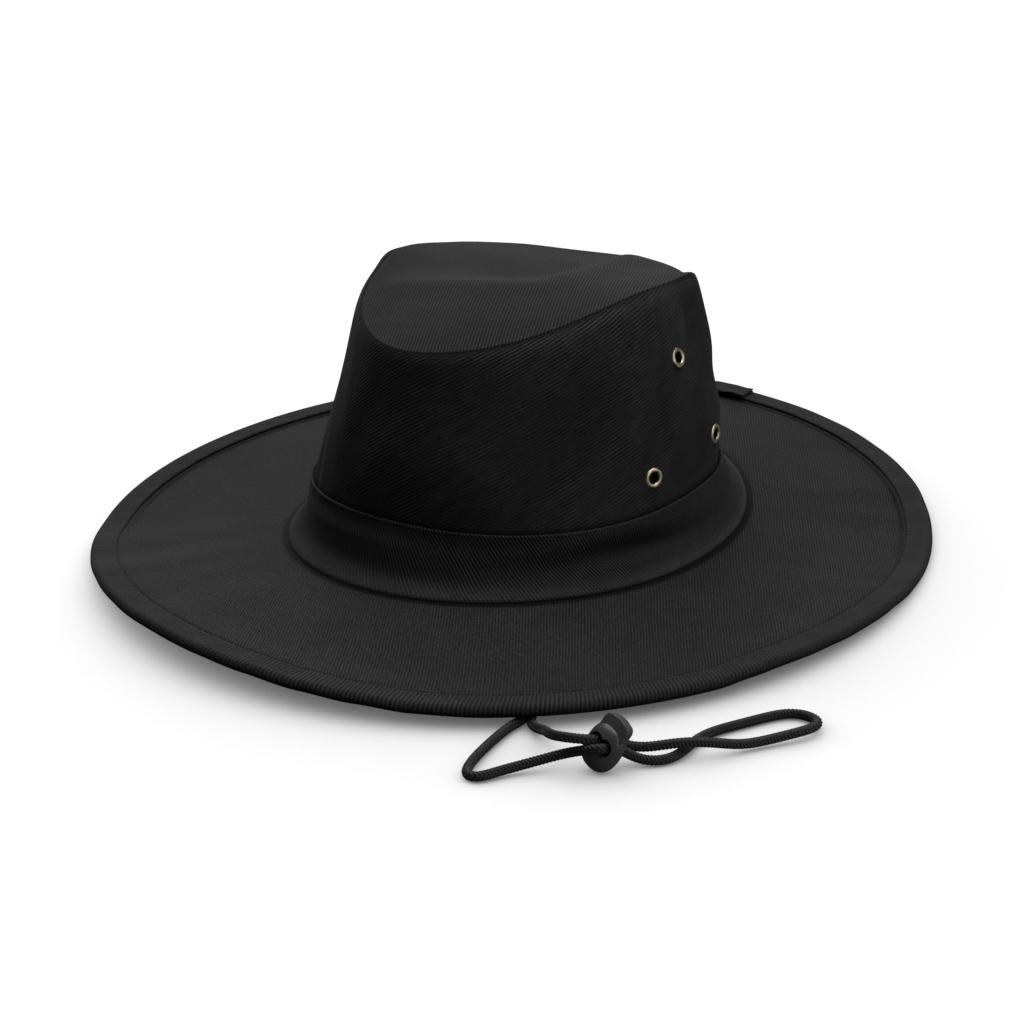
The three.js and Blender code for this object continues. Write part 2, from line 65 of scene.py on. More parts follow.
LEAN = {"mean": -0.1, "cos": 0.3, "sin": 0.3, "cos2": 0.5, "sin2": -0.6}
SHOULDER = {"mean": 5.1, "cos": -0.9, "sin": -1.2, "cos2": -2.2, "sin2": 1.6}
WALL_RISE = 75
WALL_RADIUS = 77
BAND_RADIUS = 84
BRIM_REACH = 62
HEM_RADIUS = 178
LIP = 0.9
HEM_WIDTH = 11
HEM_HEIGHT = 4.8

# How high the hem's underside lies above the floor at each angle
HEM_LIFT = [
    (0, 9.5), (8, 7.9), (15, 6.6), (22, 5.1), (30, 4.4), (45, 4.4), (60, 4.2), (65, 5.1), (70, 5.5),
    (78, 4.9), (85, 4.0), (95, 2.8), (103, 1.1), (112, 0), (122, 0), (130, 1.3), (138, 3.1), (150, 3.8),
    (160, 4.7), (170, 5.3), (180, 5.7), (190, 4.3), (200, 2.5), (210, 0.6), (225, 0), (300, 0),
    (315, 3.6), (326, 7.5), (335, 9.1), (345, 10.5), (353, 10.3), (360, 9.5),
]

# Cord and lock, as in the part
CORD_DIAMETER = 4
LOCK_CENTRE = (146.2, -159.2, 10.4)
LOCK_TURN = 84
LOCK_TILT = 22
LOCK_ROLL = 22
STRAND_OFFSET = 2.5

# Cloth: colours, the thread's pitch along a rib, and how much sheen
TONE = (0.0155, 0.0155, 0.0157)
# The brim and its hem are the crown's cloth made a little lighter: painted light on the brim, which the crown
# shades at its front
BRIM_TONE_WITH_PAINTED_LIGHT = (0.0172, 0.0172, 0.0174)
THREAD_PITCH = 0.85
SHEEN = 0.03

# Shape functions


def wave(theta, w):
    out = w["mean"] + 0 * theta
    for turns, word in ((1, ""), (2, "2"), (3, "3")):
        out = out + w.get("cos" + word, 0) * np.cos(turns * theta)
        out = out + w.get("sin" + word, 0) * np.sin(turns * theta)
    return out


def oval(theta, shape, inset=0.0, height=0.0):
    forward = np.cos(theta)
    sideways = np.sin(theta)
    half = np.where(forward > 0, shape["front"], shape["back"])
    power = shape["power"]
    total = np.abs(forward / half) ** power + np.abs(sideways / shape["side"]) ** power
    radius = total ** (-1 / power) - inset
    return np.stack([shape["x"] + radius * sideways, shape["y"] - radius * forward, height + 0 * radius], -1)


def outward(theta):
    return np.stack([np.sin(theta), -np.cos(theta), 0 * theta], -1)


def ease(t):
    t = np.clip(t, 0, 1)
    return t * t * (3 - 2 * t)


def lerp(a, b, t):
    return a + (b - a) * t


def bell(value, middle, spread):
    """A soft bump: 1 at the middle, falling off over the spread to both sides."""
    return np.exp(-((value - middle) / spread) ** 2)


def degrees_from(theta, middle):
    """How many degrees round the hat each angle lies from the middle, between -180 and 180."""
    return (theta / DEG - middle + 180) % 360 - 180


def around(theta, middle, spread):
    """A soft bump round the hat at one angle in degrees."""
    return bell(degrees_from(theta, middle), 0, spread)


def hem_lift(theta):
    degrees = (theta / DEG) % 360
    out = np.zeros_like(degrees)
    for (a0, l0), (a1, l1) in zip(HEM_LIFT, HEM_LIFT[1:]):
        t = ease((degrees - a0) / (a1 - a0))
        out = np.where((degrees >= a0) & (degrees < a1), l0 + (l1 - l0) * t, out)
    return out


def seam_bends(theta):
    """Local rises and dips of the panel's seam: its near corner, its far corner and its slack back edge."""
    out = CORNER["lift"] * around(theta, CORNER["angle"], CORNER["spread"])
    out = out + FAR_CORNER["lift"] * around(theta, FAR_CORNER["angle"], FAR_CORNER["spread"])
    return out + 0.7 * around(theta, 214, 12) - 1.3 * around(theta, 182, 22) - 1.2 * around(theta, 252, 16)


def panel_seam(theta):
    near = around(theta, CORNER["angle"], CORNER["spread"])
    far = around(theta, FAR_CORNER["angle"], FAR_CORNER["spread"])
    inset = -CORNER["reach"] * near - FAR_CORNER["reach"] * far
    return oval(theta, PANEL_SEAM, inset, wave(theta, PANEL_SEAM_HEIGHT) + seam_bends(theta))


def band_top(theta, inset=0.0):
    inset = inset + 1.5 * around(theta, 302, 16) - 2.2 * around(theta, 125, 18)
    return oval(theta, BAND_TOP, inset, wave(theta, BAND_TOP_HEIGHT))


def brim_seam(theta):
    inset = 1.3 * around(theta, 300, 18) - 1.5 * around(theta, 118, 20)
    return oval(theta, BRIM_SEAM, inset, wave(theta, BRIM_SEAM_HEIGHT))


def wall_face(theta, share):
    """The wall's outer face from its foot (0) to the panel's seam (1), before its folds."""
    foot = band_top(theta, WALL + GAP)
    head = panel_seam(theta)
    head[..., 2] -= 0.5
    shoulder = share ** 2 * np.sqrt(np.maximum(0, 1 - share ** 12))
    out = wave(theta, SWELL) * np.sin(math.pi * share) + wave(theta, LEAN) * np.sin(TURN * share)
    square = 1 - 0.35 * around(theta, 290, 22) - 0.5 * around(theta, 122, 22)
    out = out + wave(theta, SHOULDER) * shoulder * square
    return lerp(foot, head, share[..., None]) + outward(theta) * out[..., None]


# Mesh helpers

def unit(vectors):
    return vectors / np.linalg.norm(vectors, axis=-1, keepdims=True)


def normals_of(face, theta, share):
    step = 0.002
    round_ = face(theta + step, share) - face(theta - step, share)
    rise = face(theta, np.minimum(share + step, 1)) - face(theta, np.maximum(share - step, 0))
    return unit(np.cross(round_, rise))


def full_turn(count, shares=None):
    """Angles round the hat, starting at its back, where the cloth has its own seam, or a grid with shares."""
    theta = math.pi + np.arange(count) / count * TURN
    return theta if shares is None else np.meshgrid(theta, shares, indexing="ij")


def stretches(ends, counts):
    """Rising shares, with a number of points on each stretch from one end to the next."""
    parts = [np.linspace(a, b, n)[1:] for a, b, n in zip(ends, ends[1:], counts)]
    return np.concatenate([ends[:1], *parts])


def make_object(name, points, faces, uv=None, wear_and_painted_light=None, crisp=None):
    """A mesh piece from points in millimetres. uv goes by face corner; the painted light and shade with the
    worn fading, and crisp, go by point.
    """
    mesh = bpy.data.meshes.new(name)
    mesh.from_pydata((np.asarray(points) * MM).tolist(), [], [tuple(f) for f in faces])
    mesh.update()
    if uv is not None:
        layer = mesh.uv_layers.new(name="cloth")
        layer.data.foreach_set("uv", np.asarray(uv, dtype=np.float32).ravel())
    for word, values in (("wear_and_painted_light", wear_and_painted_light), ("crisp", crisp)):
        if values is not None:
            data = mesh.attributes.new(word, "FLOAT", "POINT")
            data.data.foreach_set("value", np.asarray(values, dtype=np.float32).ravel())
    mesh.polygons.foreach_set("use_smooth", [True] * len(mesh.polygons))
    obj = bpy.data.objects.new(name, mesh)
    bpy.context.scene.collection.objects.link(obj)
    return obj


def grid_faces(n, m, closed=True, ring=False):
    """Faces of n rows of m points, as [row, step, corner]. Closed joins the last row to the first, and ring
    the last step of each row to its first."""
    k, j = np.meshgrid(np.arange(n if closed else n - 1), np.arange(m if ring else m - 1), indexing="ij")
    k2, j2 = (k + 1) % n, (j + 1) % m
    return np.stack([k * m + j, k2 * m + j, k2 * m + j2, k * m + j2], -1)


def face_corners(u, v):
    """Cloth coordinates as [row, step, corner, axis]. u and v have a row and a step more than the faces."""
    uv = np.stack([u, v], -1)
    return np.stack([uv[:-1, :-1], uv[1:, :-1], uv[1:, 1:], uv[:-1, 1:]], 2)


def tube_faces(n, m):
    """Faces of a tube of n rows of m points, capped at both ends."""
    sides = grid_faces(n, m).reshape(-1, 4).tolist()
    return sides + [list(range((n - 1) * m, -1, -m)), list(range(m - 1, n * m, m))]


def grid_solid(name, points, wear_and_painted_light=None):
    """Closed surface from a grid of points whose first axis closes and whose ends are capped."""
    return make_object(name, points.reshape(-1, 3), tube_faces(*points.shape[:2]), wear_and_painted_light=wear_and_painted_light)


def prism(name, outline, low, high):
    """A plate: an outline in the plane across the lock's holes, thick from low to high along them."""
    n = len(outline)
    points = [(x, y, z) for x in (low, high) for y, z in outline]
    faces = [tuple(range(n - 1, -1, -1)), tuple(range(n, 2 * n))]
    faces += [(i, (i + 1) % n, (i + 1) % n + n, i + n) for i in range(n)]
    return make_object(name, points, faces)


def cloth_object(name, top, low, faces, uv, wear_and_painted_light=0.0, crisp=0.0):
    """Cloth with two faces, closed along every open edge and round its holes. top and low list the points in
    the same order. faces are the top's, uv is by corner of each, and the painted light and shade with the
    worn fading, and crisp, by point of the top."""
    count = len(top)
    faces = [tuple(face) for face in faces]
    everything = faces + [tuple(v + count for v in face[::-1]) for face in faces]
    corners = [c for face in uv for c in face] + [c for face in uv for c in face[::-1]]
    edges = {}
    for face, places in zip(faces, uv):
        for a, b, place_a, place_b in zip(face, face[1:] + face[:1], places, places[1:] + places[:1]):
            edges[a, b] = (place_a, place_b)
    for (a, b), (place_a, place_b) in edges.items():
        if (b, a) not in edges:
            everything.append((b, a, a + count, b + count))
            corners += [place_b, place_a, place_a, place_b]
    both = [np.concatenate([np.ravel(values) + np.zeros(count), np.zeros(count)]) for values in (wear_and_painted_light, crisp)]
    return make_object(name, np.vstack([top, low]), everything, corners, *both)


def ring_object(name, points, u, v, wear_and_painted_light=None, crisp=None):
    """A closed ring: points[k, j] is a closed section at each angle. u and v have one row and step more."""
    faces = grid_faces(*points.shape[:2], ring=True).reshape(-1, 4)
    return make_object(name, points.reshape(-1, 3), faces, face_corners(u, v), wear_and_painted_light, crisp)


def closed_both_ways(points):
    return np.pad(points, ((0, 1), (0, 1), (0, 0)), mode="wrap")


def ring_uv(points, mean_radius):
    """Cloth coordinates of a ring's points: round the hat, and along the section."""
    steps = np.linalg.norm(np.diff(closed_both_ways(points), axis=1), axis=-1)
    v = np.pad(np.cumsum(steps, 1), ((0, 0), (1, 0)))
    return np.arange(len(v))[:, None] / len(points) * TURN * mean_radius + 0 * v, v


def plane_uv(points, turn):
    """Flat cloth coordinates seen from above, with v along a direction turned from +Y."""
    c, s = math.cos(turn), math.sin(turn)
    x, y, _ = np.moveaxis(closed_both_ways(points), -1, 0)
    return x * c + y * s, -x * s + y * c


# Materials

class Tree:
    """A small helper that adds nodes to a new material, or to the world."""

    def __init__(self, name, owner=None):
        self.owner = owner or bpy.data.materials.new(name)
        self.owner.use_nodes = True
        self.nodes = self.owner.node_tree.nodes
        self.links = self.owner.node_tree.links
        self.shader = self.nodes.get("Principled BSDF")

    def add(self, kind, **values):
        node = self.nodes.new(kind)
        for key, value in values.items():
            setattr(node, key, value)
        return node

    def put(self, socket, value):
        if isinstance(value, bpy.types.NodeSocket):
            self.links.new(value, socket)
        else:
            socket.default_value = value

    def math(self, operation, *values):
        node = self.add("ShaderNodeMath", operation=operation)
        for socket, value in zip(node.inputs, values):
            self.put(socket, value)
        return node.outputs[0]

    def plus(self, *values):
        total = values[0]
        for value in values[1:]:
            total = self.math("ADD", total, value)
        return total

    def times(self, a, b):
        return self.math("MULTIPLY", a, b)

    def sway(self, value, cause, amount):
        """The value with the cause's swing about 0.5 added to it."""
        return self.plus(value, self.times(self.math("SUBTRACT", cause, 0.5), amount))

    def attribute(self, name):
        return self.add("ShaderNodeAttribute", attribute_name=name).outputs["Fac"]

    def place(self):
        return self.add("ShaderNodeTexCoord").outputs["Object"]

    def surface(self, **values):
        """Sets the shader's own sockets: their names with _ for spaces."""
        for name, value in values.items():
            self.put(self.shader.inputs[name.replace("_", " ")], value)
        return self.owner

    def light(self, kind, strength):
        node = self.add(kind)
        node.inputs["Color"].default_value = (1, 1, 1, 1)
        self.put(node.inputs["Strength"], strength)
        return node.outputs[0]

    def for_camera(self, others, camera_sees, output):
        """Joins two shaders: the second is for the rays straight from the camera."""
        mix = self.add("ShaderNodeMixShader")
        ray = self.add("ShaderNodeLightPath").outputs["Is Camera Ray"]
        for socket, value in zip(mix.inputs, (ray, others, camera_sees)):
            self.put(socket, value)
        self.put(self.nodes[output].inputs["Surface"], mix.outputs[0])
        return self.owner

    def range(self, value, low, high, to_low=0.0, to_high=1.0, smooth=False):
        node = self.add("ShaderNodeMapRange", clamp=True)
        if smooth:
            node.interpolation_type = "SMOOTHSTEP"
        for socket, v in zip(node.inputs, (value, low, high, to_low, to_high)):
            self.put(socket, v)
        return node.outputs[0]

    def noise(self, vector, scale, detail=2.0, stretch=(1, 1, 1), turn=0.0):
        mapping = self.add("ShaderNodeMapping")
        self.put(mapping.inputs["Vector"], vector)
        mapping.inputs["Scale"].default_value = stretch
        mapping.inputs["Rotation"].default_value = (0, 0, turn)
        node = self.add("ShaderNodeTexNoise")
        self.put(node.inputs["Vector"], mapping.outputs[0])
        node.inputs["Scale"].default_value = scale
        node.inputs["Detail"].default_value = detail
        return node.outputs["Fac"]

    def mix(self, factor, a, b):
        node = self.add("ShaderNodeMix", data_type="RGBA")
        self.put(node.inputs[0], factor)
        self.put(node.inputs[6], a)
        self.put(node.inputs[7], b)
        return node.outputs[2]

    def scaled(self, colour, factor):
        node = self.add("ShaderNodeVectorMath", operation="SCALE")
        self.put(node.inputs[0], colour)
        self.put(node.inputs["Scale"], factor)
        return node.outputs[0]

    def bump(self, height, distance):
        node = self.add("ShaderNodeBump")
        node.inputs["Strength"].default_value = 1.0
        node.inputs["Distance"].default_value = distance
        self.put(node.inputs["Height"], height)
        return node.outputs[0]


def twill_material(name, angle, pitch, tone, contrast, relief, fleck, patchy=0.1, grain=0.5, weft=0.0,
                   warp=0.5, mottle=0.05, uneven=0.4):
    """Black cotton twill: ribs at an angle from u, a pitch in millimetres, and slubs and flecks."""
    t = Tree(name)
    turned = angle * DEG
    cloth = t.add("ShaderNodeUVMap", uv_map="cloth").outputs[0]
    split = t.add("ShaderNodeSeparateXYZ")
    t.put(split.inputs[0], cloth)
    u, v = split.outputs[0], split.outputs[1]
    across = t.plus(t.times(u, -math.sin(turned)), t.times(v, math.cos(turned)))
    along = t.plus(t.times(u, math.cos(turned)), t.times(v, math.sin(turned)))
    drift = t.noise(cloth, 0.045, 2.0)
    wobble = t.noise(cloth, 0.9, 1.0)
    across = t.plus(across, t.times(drift, 6.0 * warp), t.times(wobble, 0.35 * warp))
    rib = t.range(t.math("SINE", t.times(across, TURN / pitch)), -1.0, 1.0)
    row = t.math("FLOOR", t.math("DIVIDE", across, pitch))
    thread = t.plus(t.times(along, TURN / THREAD_PITCH), t.times(row, 2.4))
    thread = t.range(t.math("SINE", thread), -1.0, 1.0)
    fibre = t.noise(cloth, 1.6, 3.0, (1.0, 0.25, 1.0), turned)
    height = t.plus(t.times(rib, 0.72), t.times(thread, 0.16), t.times(fibre, 0.35))
    # Painted shade in the ribs' grooves and painted light on their crests, on top of their bump, and how
    # strongly it shows from place to place
    blotch = t.noise(cloth, 0.09, 2.0)
    fade = t.plus(t.range(blotch, 0.35, 0.65, 1 - uneven, 1 + 0.7 * uneven), t.attribute("crisp"))
    fade = t.math("MAXIMUM", fade, 0.08)
    swing = t.times(t.math("SUBTRACT", rib, 0.5), fade)
    value = t.plus(1.0, t.times(swing, 2 * contrast))
    # Grain of the fibres and threads
    value = t.sway(value, fibre, grain)
    value = t.sway(value, t.noise(cloth, 1.9, 1.0), 1.6 * grain)
    value = t.sway(value, thread, 0.4 * grain)
    if weft:
        dash = t.noise(cloth, 1.0, 2.0, (0.28, 1.4, 1.0))
        value = t.plus(value, t.range(dash, 0.57, 0.72, 0.0, weft))
    # Soft patches, slubs and lint, then each piece's painted light and shade together with its worn fading
    patch = t.noise(cloth, 0.03, 3.0)
    cloud = t.noise(cloth, 0.17, 3.0, (0.7, 1.0, 1.0), turned)
    value = t.times(value, t.range(patch, 0.3, 0.7, 1 - patchy, 1 + patchy))
    value = t.times(value, t.range(cloud, 0.3, 0.7, 1 - mottle, 1 + mottle))
    slub = t.noise(cloth, 0.55, 2.0, (1.0, 0.35, 1.0), turned)
    value = t.plus(value, t.range(slub, 0.62, 0.8, 0.0, fleck))
    lint = t.noise(cloth, 0.8, 0.0)
    value = t.times(value, t.range(lint, 0.2, 0.26, 0.55, 1.0))
    # Painted light and shade from each piece's attribute: dark seams, grooves, folds and dents, lit sides and
    # highlights, with the worn fading of some edges
    value = t.times(value, t.plus(1.0, t.attribute("wear_and_painted_light")))
    value = t.math("MAXIMUM", value, 0.05)
    return t.surface(
        Base_Color=t.scaled(tone, value), Normal=t.bump(height, relief * MM),
        Roughness=t.range(height, 0.2, 1.0, 0.98, 0.82), Specular_IOR_Level=0.15,
        Sheen_Weight=SHEEN, Sheen_Roughness=0.45)


def braid_material():
    t = Tree("cord_braid")
    fibre = t.noise(t.place(), 2600.0, 2.0)
    # Painted shade in the braid's grooves and painted light on its ridges, from the ridge height that each
    # point carries
    strand = t.range(t.attribute("wear_and_painted_light"), 0.5, 0.92, 0.0, 4.6)
    value = t.plus(strand, t.times(fibre, 0.25))
    return t.surface(
        Base_Color=t.scaled((0.0085, 0.0085, 0.0088), value), Roughness=t.range(fibre, 0.3, 0.7, 0.5, 0.75),
        Normal=t.bump(fibre, 0.08 * MM), Specular_IOR_Level=0.4, Sheen_Weight=0.1)


def plastic_material(name, tone, rough):
    t = Tree(name)
    place = t.place()
    smear = t.noise(place, 90.0, 2.0)
    return t.surface(
        Base_Color=t.scaled((tone, tone, tone * 1.04), t.range(smear, 0.3, 0.7, 0.85, 1.15)),
        Roughness=t.range(smear, 0.3, 0.7, rough - 0.05, rough + 0.07),
        Normal=t.bump(t.noise(place, 1800.0, 3.0), 0.03 * MM))


def brass_material():
    t = Tree("eyelet_brass")
    place = t.place()
    stain = t.noise(place, 420.0, 3.0)
    scratch = t.noise(place, 2400.0, 2.0)
    colour = t.mix(t.range(stain, 0.35, 0.65), (0.78, 0.69, 0.49, 1), (0.46, 0.38, 0.24, 1))
    return t.surface(
        Base_Color=t.scaled(colour, t.plus(1.0, t.attribute("wear_and_painted_light"))), Metallic=1.0,
        Roughness=t.range(scratch, 0.3, 0.7, 0.28, 0.46), Normal=t.bump(scratch, 0.03 * MM))


def finish_piece(obj, material, node=None, body="hat"):
    obj.data.materials.clear()
    obj.data.materials.append(material)
    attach(obj, body)
    if node:
        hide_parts(*([node] if isinstance(node, str) else node))
    return obj


# Camera

azimuth = CAMERA["azimuth"] * DEG
elevation = CAMERA["elevation"] * DEG
level = math.cos(elevation)
back = Vector((math.sin(azimuth) * level, -math.cos(azimuth) * level, math.sin(elevation)))
right = Vector((math.cos(azimuth), math.sin(azimuth), 0))
upright = back.cross(right)
camera_data = bpy.data.cameras.new("camera")
camera_data.lens = CAMERA["lens"]
camera_data.sensor_width = 36
camera_data.shift_x = CAMERA["shift_x"]
camera_data.shift_y = CAMERA["shift_y"]
camera_data.clip_start = 0.01
camera_data.clip_end = 50
camera = bpy.data.objects.new("camera", camera_data)
rotation = Matrix((right, upright, back)).transposed()
camera.matrix_world = Matrix.Translation(back * CAMERA["distance"]) @ rotation.to_4x4()
bpy.context.scene.collection.objects.link(camera)
bpy.context.scene.camera = camera

# Chin cord: where the lock's own axes point, and the cord's route through it

turn = LOCK_TURN * DEG
tilt = LOCK_TILT * DEG
roll = LOCK_ROLL * DEG
flat_along = np.array([math.cos(turn), math.sin(turn), 0])
flat_side = np.array([-math.sin(turn), math.cos(turn), 0])
zenith = np.array([0.0, 0, 1])
HOLE_AXIS = flat_along * math.cos(tilt) - zenith * math.sin(tilt)
tilted = zenith * math.cos(tilt) + flat_along * math.sin(tilt)
SIDE_AXIS = flat_side * math.cos(roll) + tilted * math.sin(roll)
PLUNGER_AXIS = tilted * math.cos(roll) - flat_side * math.sin(roll)


def in_hole(along, side):
    """A point of the route in one of the lock's holes, in metres."""
    point = np.array(LOCK_CENTRE) + HOLE_AXIS * along + SIDE_AXIS * side * STRAND_OFFSET
    return tuple(point * MM)


CORD_ROUTE = [
    (-0.0758, 0, 0.024), (-0.0758, -0.001, 0.011), (-0.073, -0.014, 0.0021), (-0.046, -0.041, 0.0021),
    (0.010, -0.080, 0.0021), (0.070, -0.114, 0.0021), (0.1025, -0.1385, 0.0021), (0.1003, -0.1505, 0.0021),
    (0.1008, -0.160, 0.0021), (0.1025, -0.173, 0.0021), (0.1045, -0.184, 0.0021), (0.108, -0.1935, 0.0021),
    (0.1135, -0.1935, 0.0021), (0.1175, -0.1845, 0.0024), (0.1225, -0.1775, 0.0032), (0.129, -0.1705, 0.005),
    (0.1365, -0.166, 0.0078),
    in_hole(-7, -1), in_hole(0, -1), in_hole(7, -1),
    (0.1555, -0.149, 0.0016), (0.166, -0.1415, 0.0025), (0.161, -0.1195, 0.0021), (0.171, -0.102, 0.0021),
    (0.1795, -0.0835, 0.0021), (0.1915, -0.0835, 0.0021), (0.197, -0.093, 0.0039), (0.1895, -0.104, 0.0032),
    (0.180, -0.1185, 0.0021), (0.173, -0.129, 0.0064), (0.163, -0.1385, 0.0074), (0.1525, -0.1465, 0.0048),
    in_hole(7, 1), in_hole(0, 1), in_hole(-7, 1),
    (0.1295, -0.1705, 0.0140), (0.1190, -0.1560, 0.0070), (0.109, -0.1490, 0.0021), (0.1025, -0.1440, 0.0021),
    (0.0985, -0.1290, 0.0021),
    (0.086, -0.060, 0.0021), (0.0758, -0.001, 0.008), (0.0758, 0, 0.024),
]


def cord_points(count):
    """Points at even steps along the smooth B-spline through the route."""
    route = np.array(CORD_ROUTE)
    route = np.vstack([2 * route[0] - route[1], route, 2 * route[-1] - route[-2]])
    fine = []
    for i in range(len(route) - 3):
        for s in np.arange(40) / 40:
            early, late = 3 * s ** 3 - 6 * s * s + 4, -3 * s ** 3 + 3 * s * s + 3 * s + 1
            fine.append(np.array([(1 - s) ** 3, early, late, s ** 3]) @ route[i:i + 4] / 6)
    fine.append(np.array(CORD_ROUTE[-1]))
    fine = np.array(fine)
    run = np.concatenate([[0], np.cumsum(np.linalg.norm(np.diff(fine, axis=0), axis=1))])
    even = np.linspace(0, run[-1], count)
    return np.stack([np.interp(even, run, fine[:, k]) for k in range(3)], 1), run[-1]


def tube_frames(points):
    """Two directions across the tube. The first keeps looking up and forwards, where the braid lies open."""
    tangents = unit(np.gradient(points, axis=0))
    toward = np.array([0.51, -0.74, 0.45])
    sides = unit(toward[None] - tangents * (tangents @ toward)[:, None])
    return sides, np.cross(tangents, sides)


BRAID_COLUMNS = 4
BRAID_PITCH = 1.4
BRAID_SLANT = 1.5
BRAID_RELIEF = 0.75


def braided_cord():
    rings = 3000
    sides = 24
    points, length = cord_points(rings)
    points = points / MM
    side, up = tube_frames(points)
    phi = np.arange(sides) / sides * TURN
    along = np.linspace(0, length / MM, rings)[:, None]
    column = phi[None, :] * BRAID_COLUMNS / TURN
    part = column - np.floor(column)
    slant = np.where(np.floor(column) % 2 == 0, part, 1 - part)
    ridge = np.abs(np.sin(math.pi * (along / BRAID_PITCH + BRAID_SLANT * slant))) ** 1.1
    ridge = ridge * np.sin(math.pi * np.clip(part, 0.06, 0.94)) ** 0.5
    radius = CORD_DIAMETER / 2 - BRAID_RELIEF * 0.72 + BRAID_RELIEF * ridge
    ring = points[:, None] + radius[..., None] * (
        np.cos(phi)[None, :, None] * side[:, None] + np.sin(phi)[None, :, None] * up[:, None]
    )
    ring[..., 2] = np.maximum(ring[..., 2], 0.02)
    # The ridge height goes with the cord as its painted light and shade
    return grid_solid("chin_cord_braid", ring.transpose(1, 0, 2), wear_and_painted_light=ridge.T), points * MM


cord, cord_path = braided_cord()
finish_piece(cord, braid_material(), "chin_cord")

# Crown: top panel

CREST = [(10, 76), (15.4, 55), (20, 37), (22, 21), (17, -6.5), (2, -16), (-19.8, -28), (-34, -34)]


def distance_to_line(x, y, line):
    """How far each point lies from a line of several straight steps, below zero on its right."""
    best = np.full(np.shape(x), 1e9)
    side = np.ones(np.shape(x))
    for (x0, y0), (x1, y1) in zip(line, line[1:]):
        dx, dy = x1 - x0, y1 - y0
        t = np.clip(((x - x0) * dx + (y - y0) * dy) / (dx * dx + dy * dy), 0, 1)
        off = np.hypot(x - x0 - t * dx, y - y0 - t * dy)
        turned = np.where(dx * (y - y0) - dy * (x - x0) >= 0, 1, -1)
        side = np.where(off < best, turned, side)
        best = np.minimum(best, off)
    return best * side


def panel_height(x, y, theta, share):
    """Height of the panel: the rim's own sag carried inwards, a crest and the dent behind it."""
    w = PANEL_SEAM_HEIGHT
    base = w["mean"] + share * (w["cos"] * np.cos(theta) + w["sin"] * np.sin(theta))
    base = base + share ** 2 * w["cos2"] * np.cos(2 * theta)
    base = base + seam_bends(theta) * share ** 5
    inside = 1 - share ** 8
    pillow = 5.8 * (1 - share ** 2.5)
    off = distance_to_line(x, y, CREST)
    behind = np.maximum(-off, 0)
    deep = 1.2 + 4.4 * ease((y + 30) / 50)
    dent = deep * (1 - bell(behind, 0, 12)) * bell(behind, 0, 44) * inside
    crest = 0.9 * bell(off, 0, np.where(off > 0, 11, 7)) * inside
    return base + pillow - dent + crest


def panel_object():
    th, sh = full_turn(400, stretches((0, 0.94, 1), (56, 13))[1:])
    n, m = th.shape
    rim = panel_seam(th)
    middle = np.array([PANEL_SEAM["x"], PANEL_SEAM["y"], 0])
    points = middle + (rim - middle) * sh[..., None]
    points[..., 2] = panel_height(points[..., 0], points[..., 1], th, sh)
    reach = np.linalg.norm(rim[..., :2] - middle[:2], axis=-1)
    gap = (1 - sh) * reach
    round_ = 1.2
    roll_down = np.where(gap < round_, round_ - np.sqrt(np.maximum(0, round_ ** 2 - (round_ - gap) ** 2)), 0)
    points[..., 2] -= roll_down
    under = points.copy()
    under[..., 2] = np.minimum(points[..., 2] - 0.05, points[..., 2] - WALL + roll_down * 0.9)
    pole = n * m
    faces = np.roll(grid_faces(n, m)[..., ::-1], 1, -1).reshape(-1, 4).tolist()
    faces += [(pole, a * m, ((a + 1) % n) * m) for a in range(n)]
    top = panel_height(np.array(middle[0]), np.array(middle[1]), np.array(0.0), np.array(0.0))
    above = np.vstack([points.reshape(-1, 3), middle + zenith * top])
    below = np.vstack([under.reshape(-1, 3), middle + zenith * (top - WALL)])
    # The cloth's own directions, with the ribs bent where the panel is drawn over the dent
    sideways = above[:, 0] * math.cos(azimuth) + above[:, 1] * math.sin(azimuth)
    ahead = -above[:, 0] * math.sin(azimuth) + above[:, 1] * math.cos(azimuth)
    flat_u = sideways - 0.4 * np.logaddexp(0, (ahead - 8) / 8) * 8 * ease((25 - sideways) / 50) * 0.9
    flat_u = flat_u - 0.1 * np.minimum(ahead, 8)
    uv = [[(flat_u[i], ahead[i]) for i in face] for face in faces]
    # A lighter strip just inside the rim, worn fading where the cloth rolls over, and painted shade in the
    # seam itself
    edge = 0.2 * bell(gap, 1.6, 0.9)
    edge = edge - 0.95 * bell(gap, 0, 0.85)
    off = distance_to_line(points[..., 0], points[..., 1], CREST)
    reach_left = ease((points[..., 0] + 26) / 26)
    # Painted highlight along the crest, fading out to the left
    edge = edge + 0.16 * bell(off, -1, 3.4) * (1 - sh ** 8) * reach_left
    # Painted shade in the dent behind the crest, near the back
    edge = edge - 0.36 * bell(off, -18, 10) * bell(points[..., 1], 43, 9)
    # Painted light on the left of the panel
    wear_and_painted_light = np.append(edge.ravel() + 0.15 * ease(-sideways[:-1] / 40), 0.0)
    toward = above[:, 0] * back.x + above[:, 1] * back.y
    crisp = -0.65 + 1.0 * ease((toward + 20) / 45) - 0.35 * ease((5 - sideways) / 50)
    return cloth_object("crown_panel_cloth", above, below, faces, uv, wear_and_painted_light, crisp)


finish_piece(
    panel_object(),
    twill_material("twill_panel", 86, 1.3, TONE, 0.46, 0.13, 0.3, grain=0.6, weft=0.3, warp=0.2, mottle=0.08),
    "crown_top")

# Crown: wall with its eyelet holes

# Name, angle, share of the height, and how far the ring turns to the front, how far the cloth round it turns,
# and how far the ring looks up
EYELETS = [
    ("top", 96.5, 0.675, 0.12, 0.05, 0.2),
    ("back", 118.5, 0.19, 0.1, 0.0, 0.0),
    ("front", 81, 0.15, 0.45, 0.2, 0.0),
]
HOLE_RADIUS = 3.3

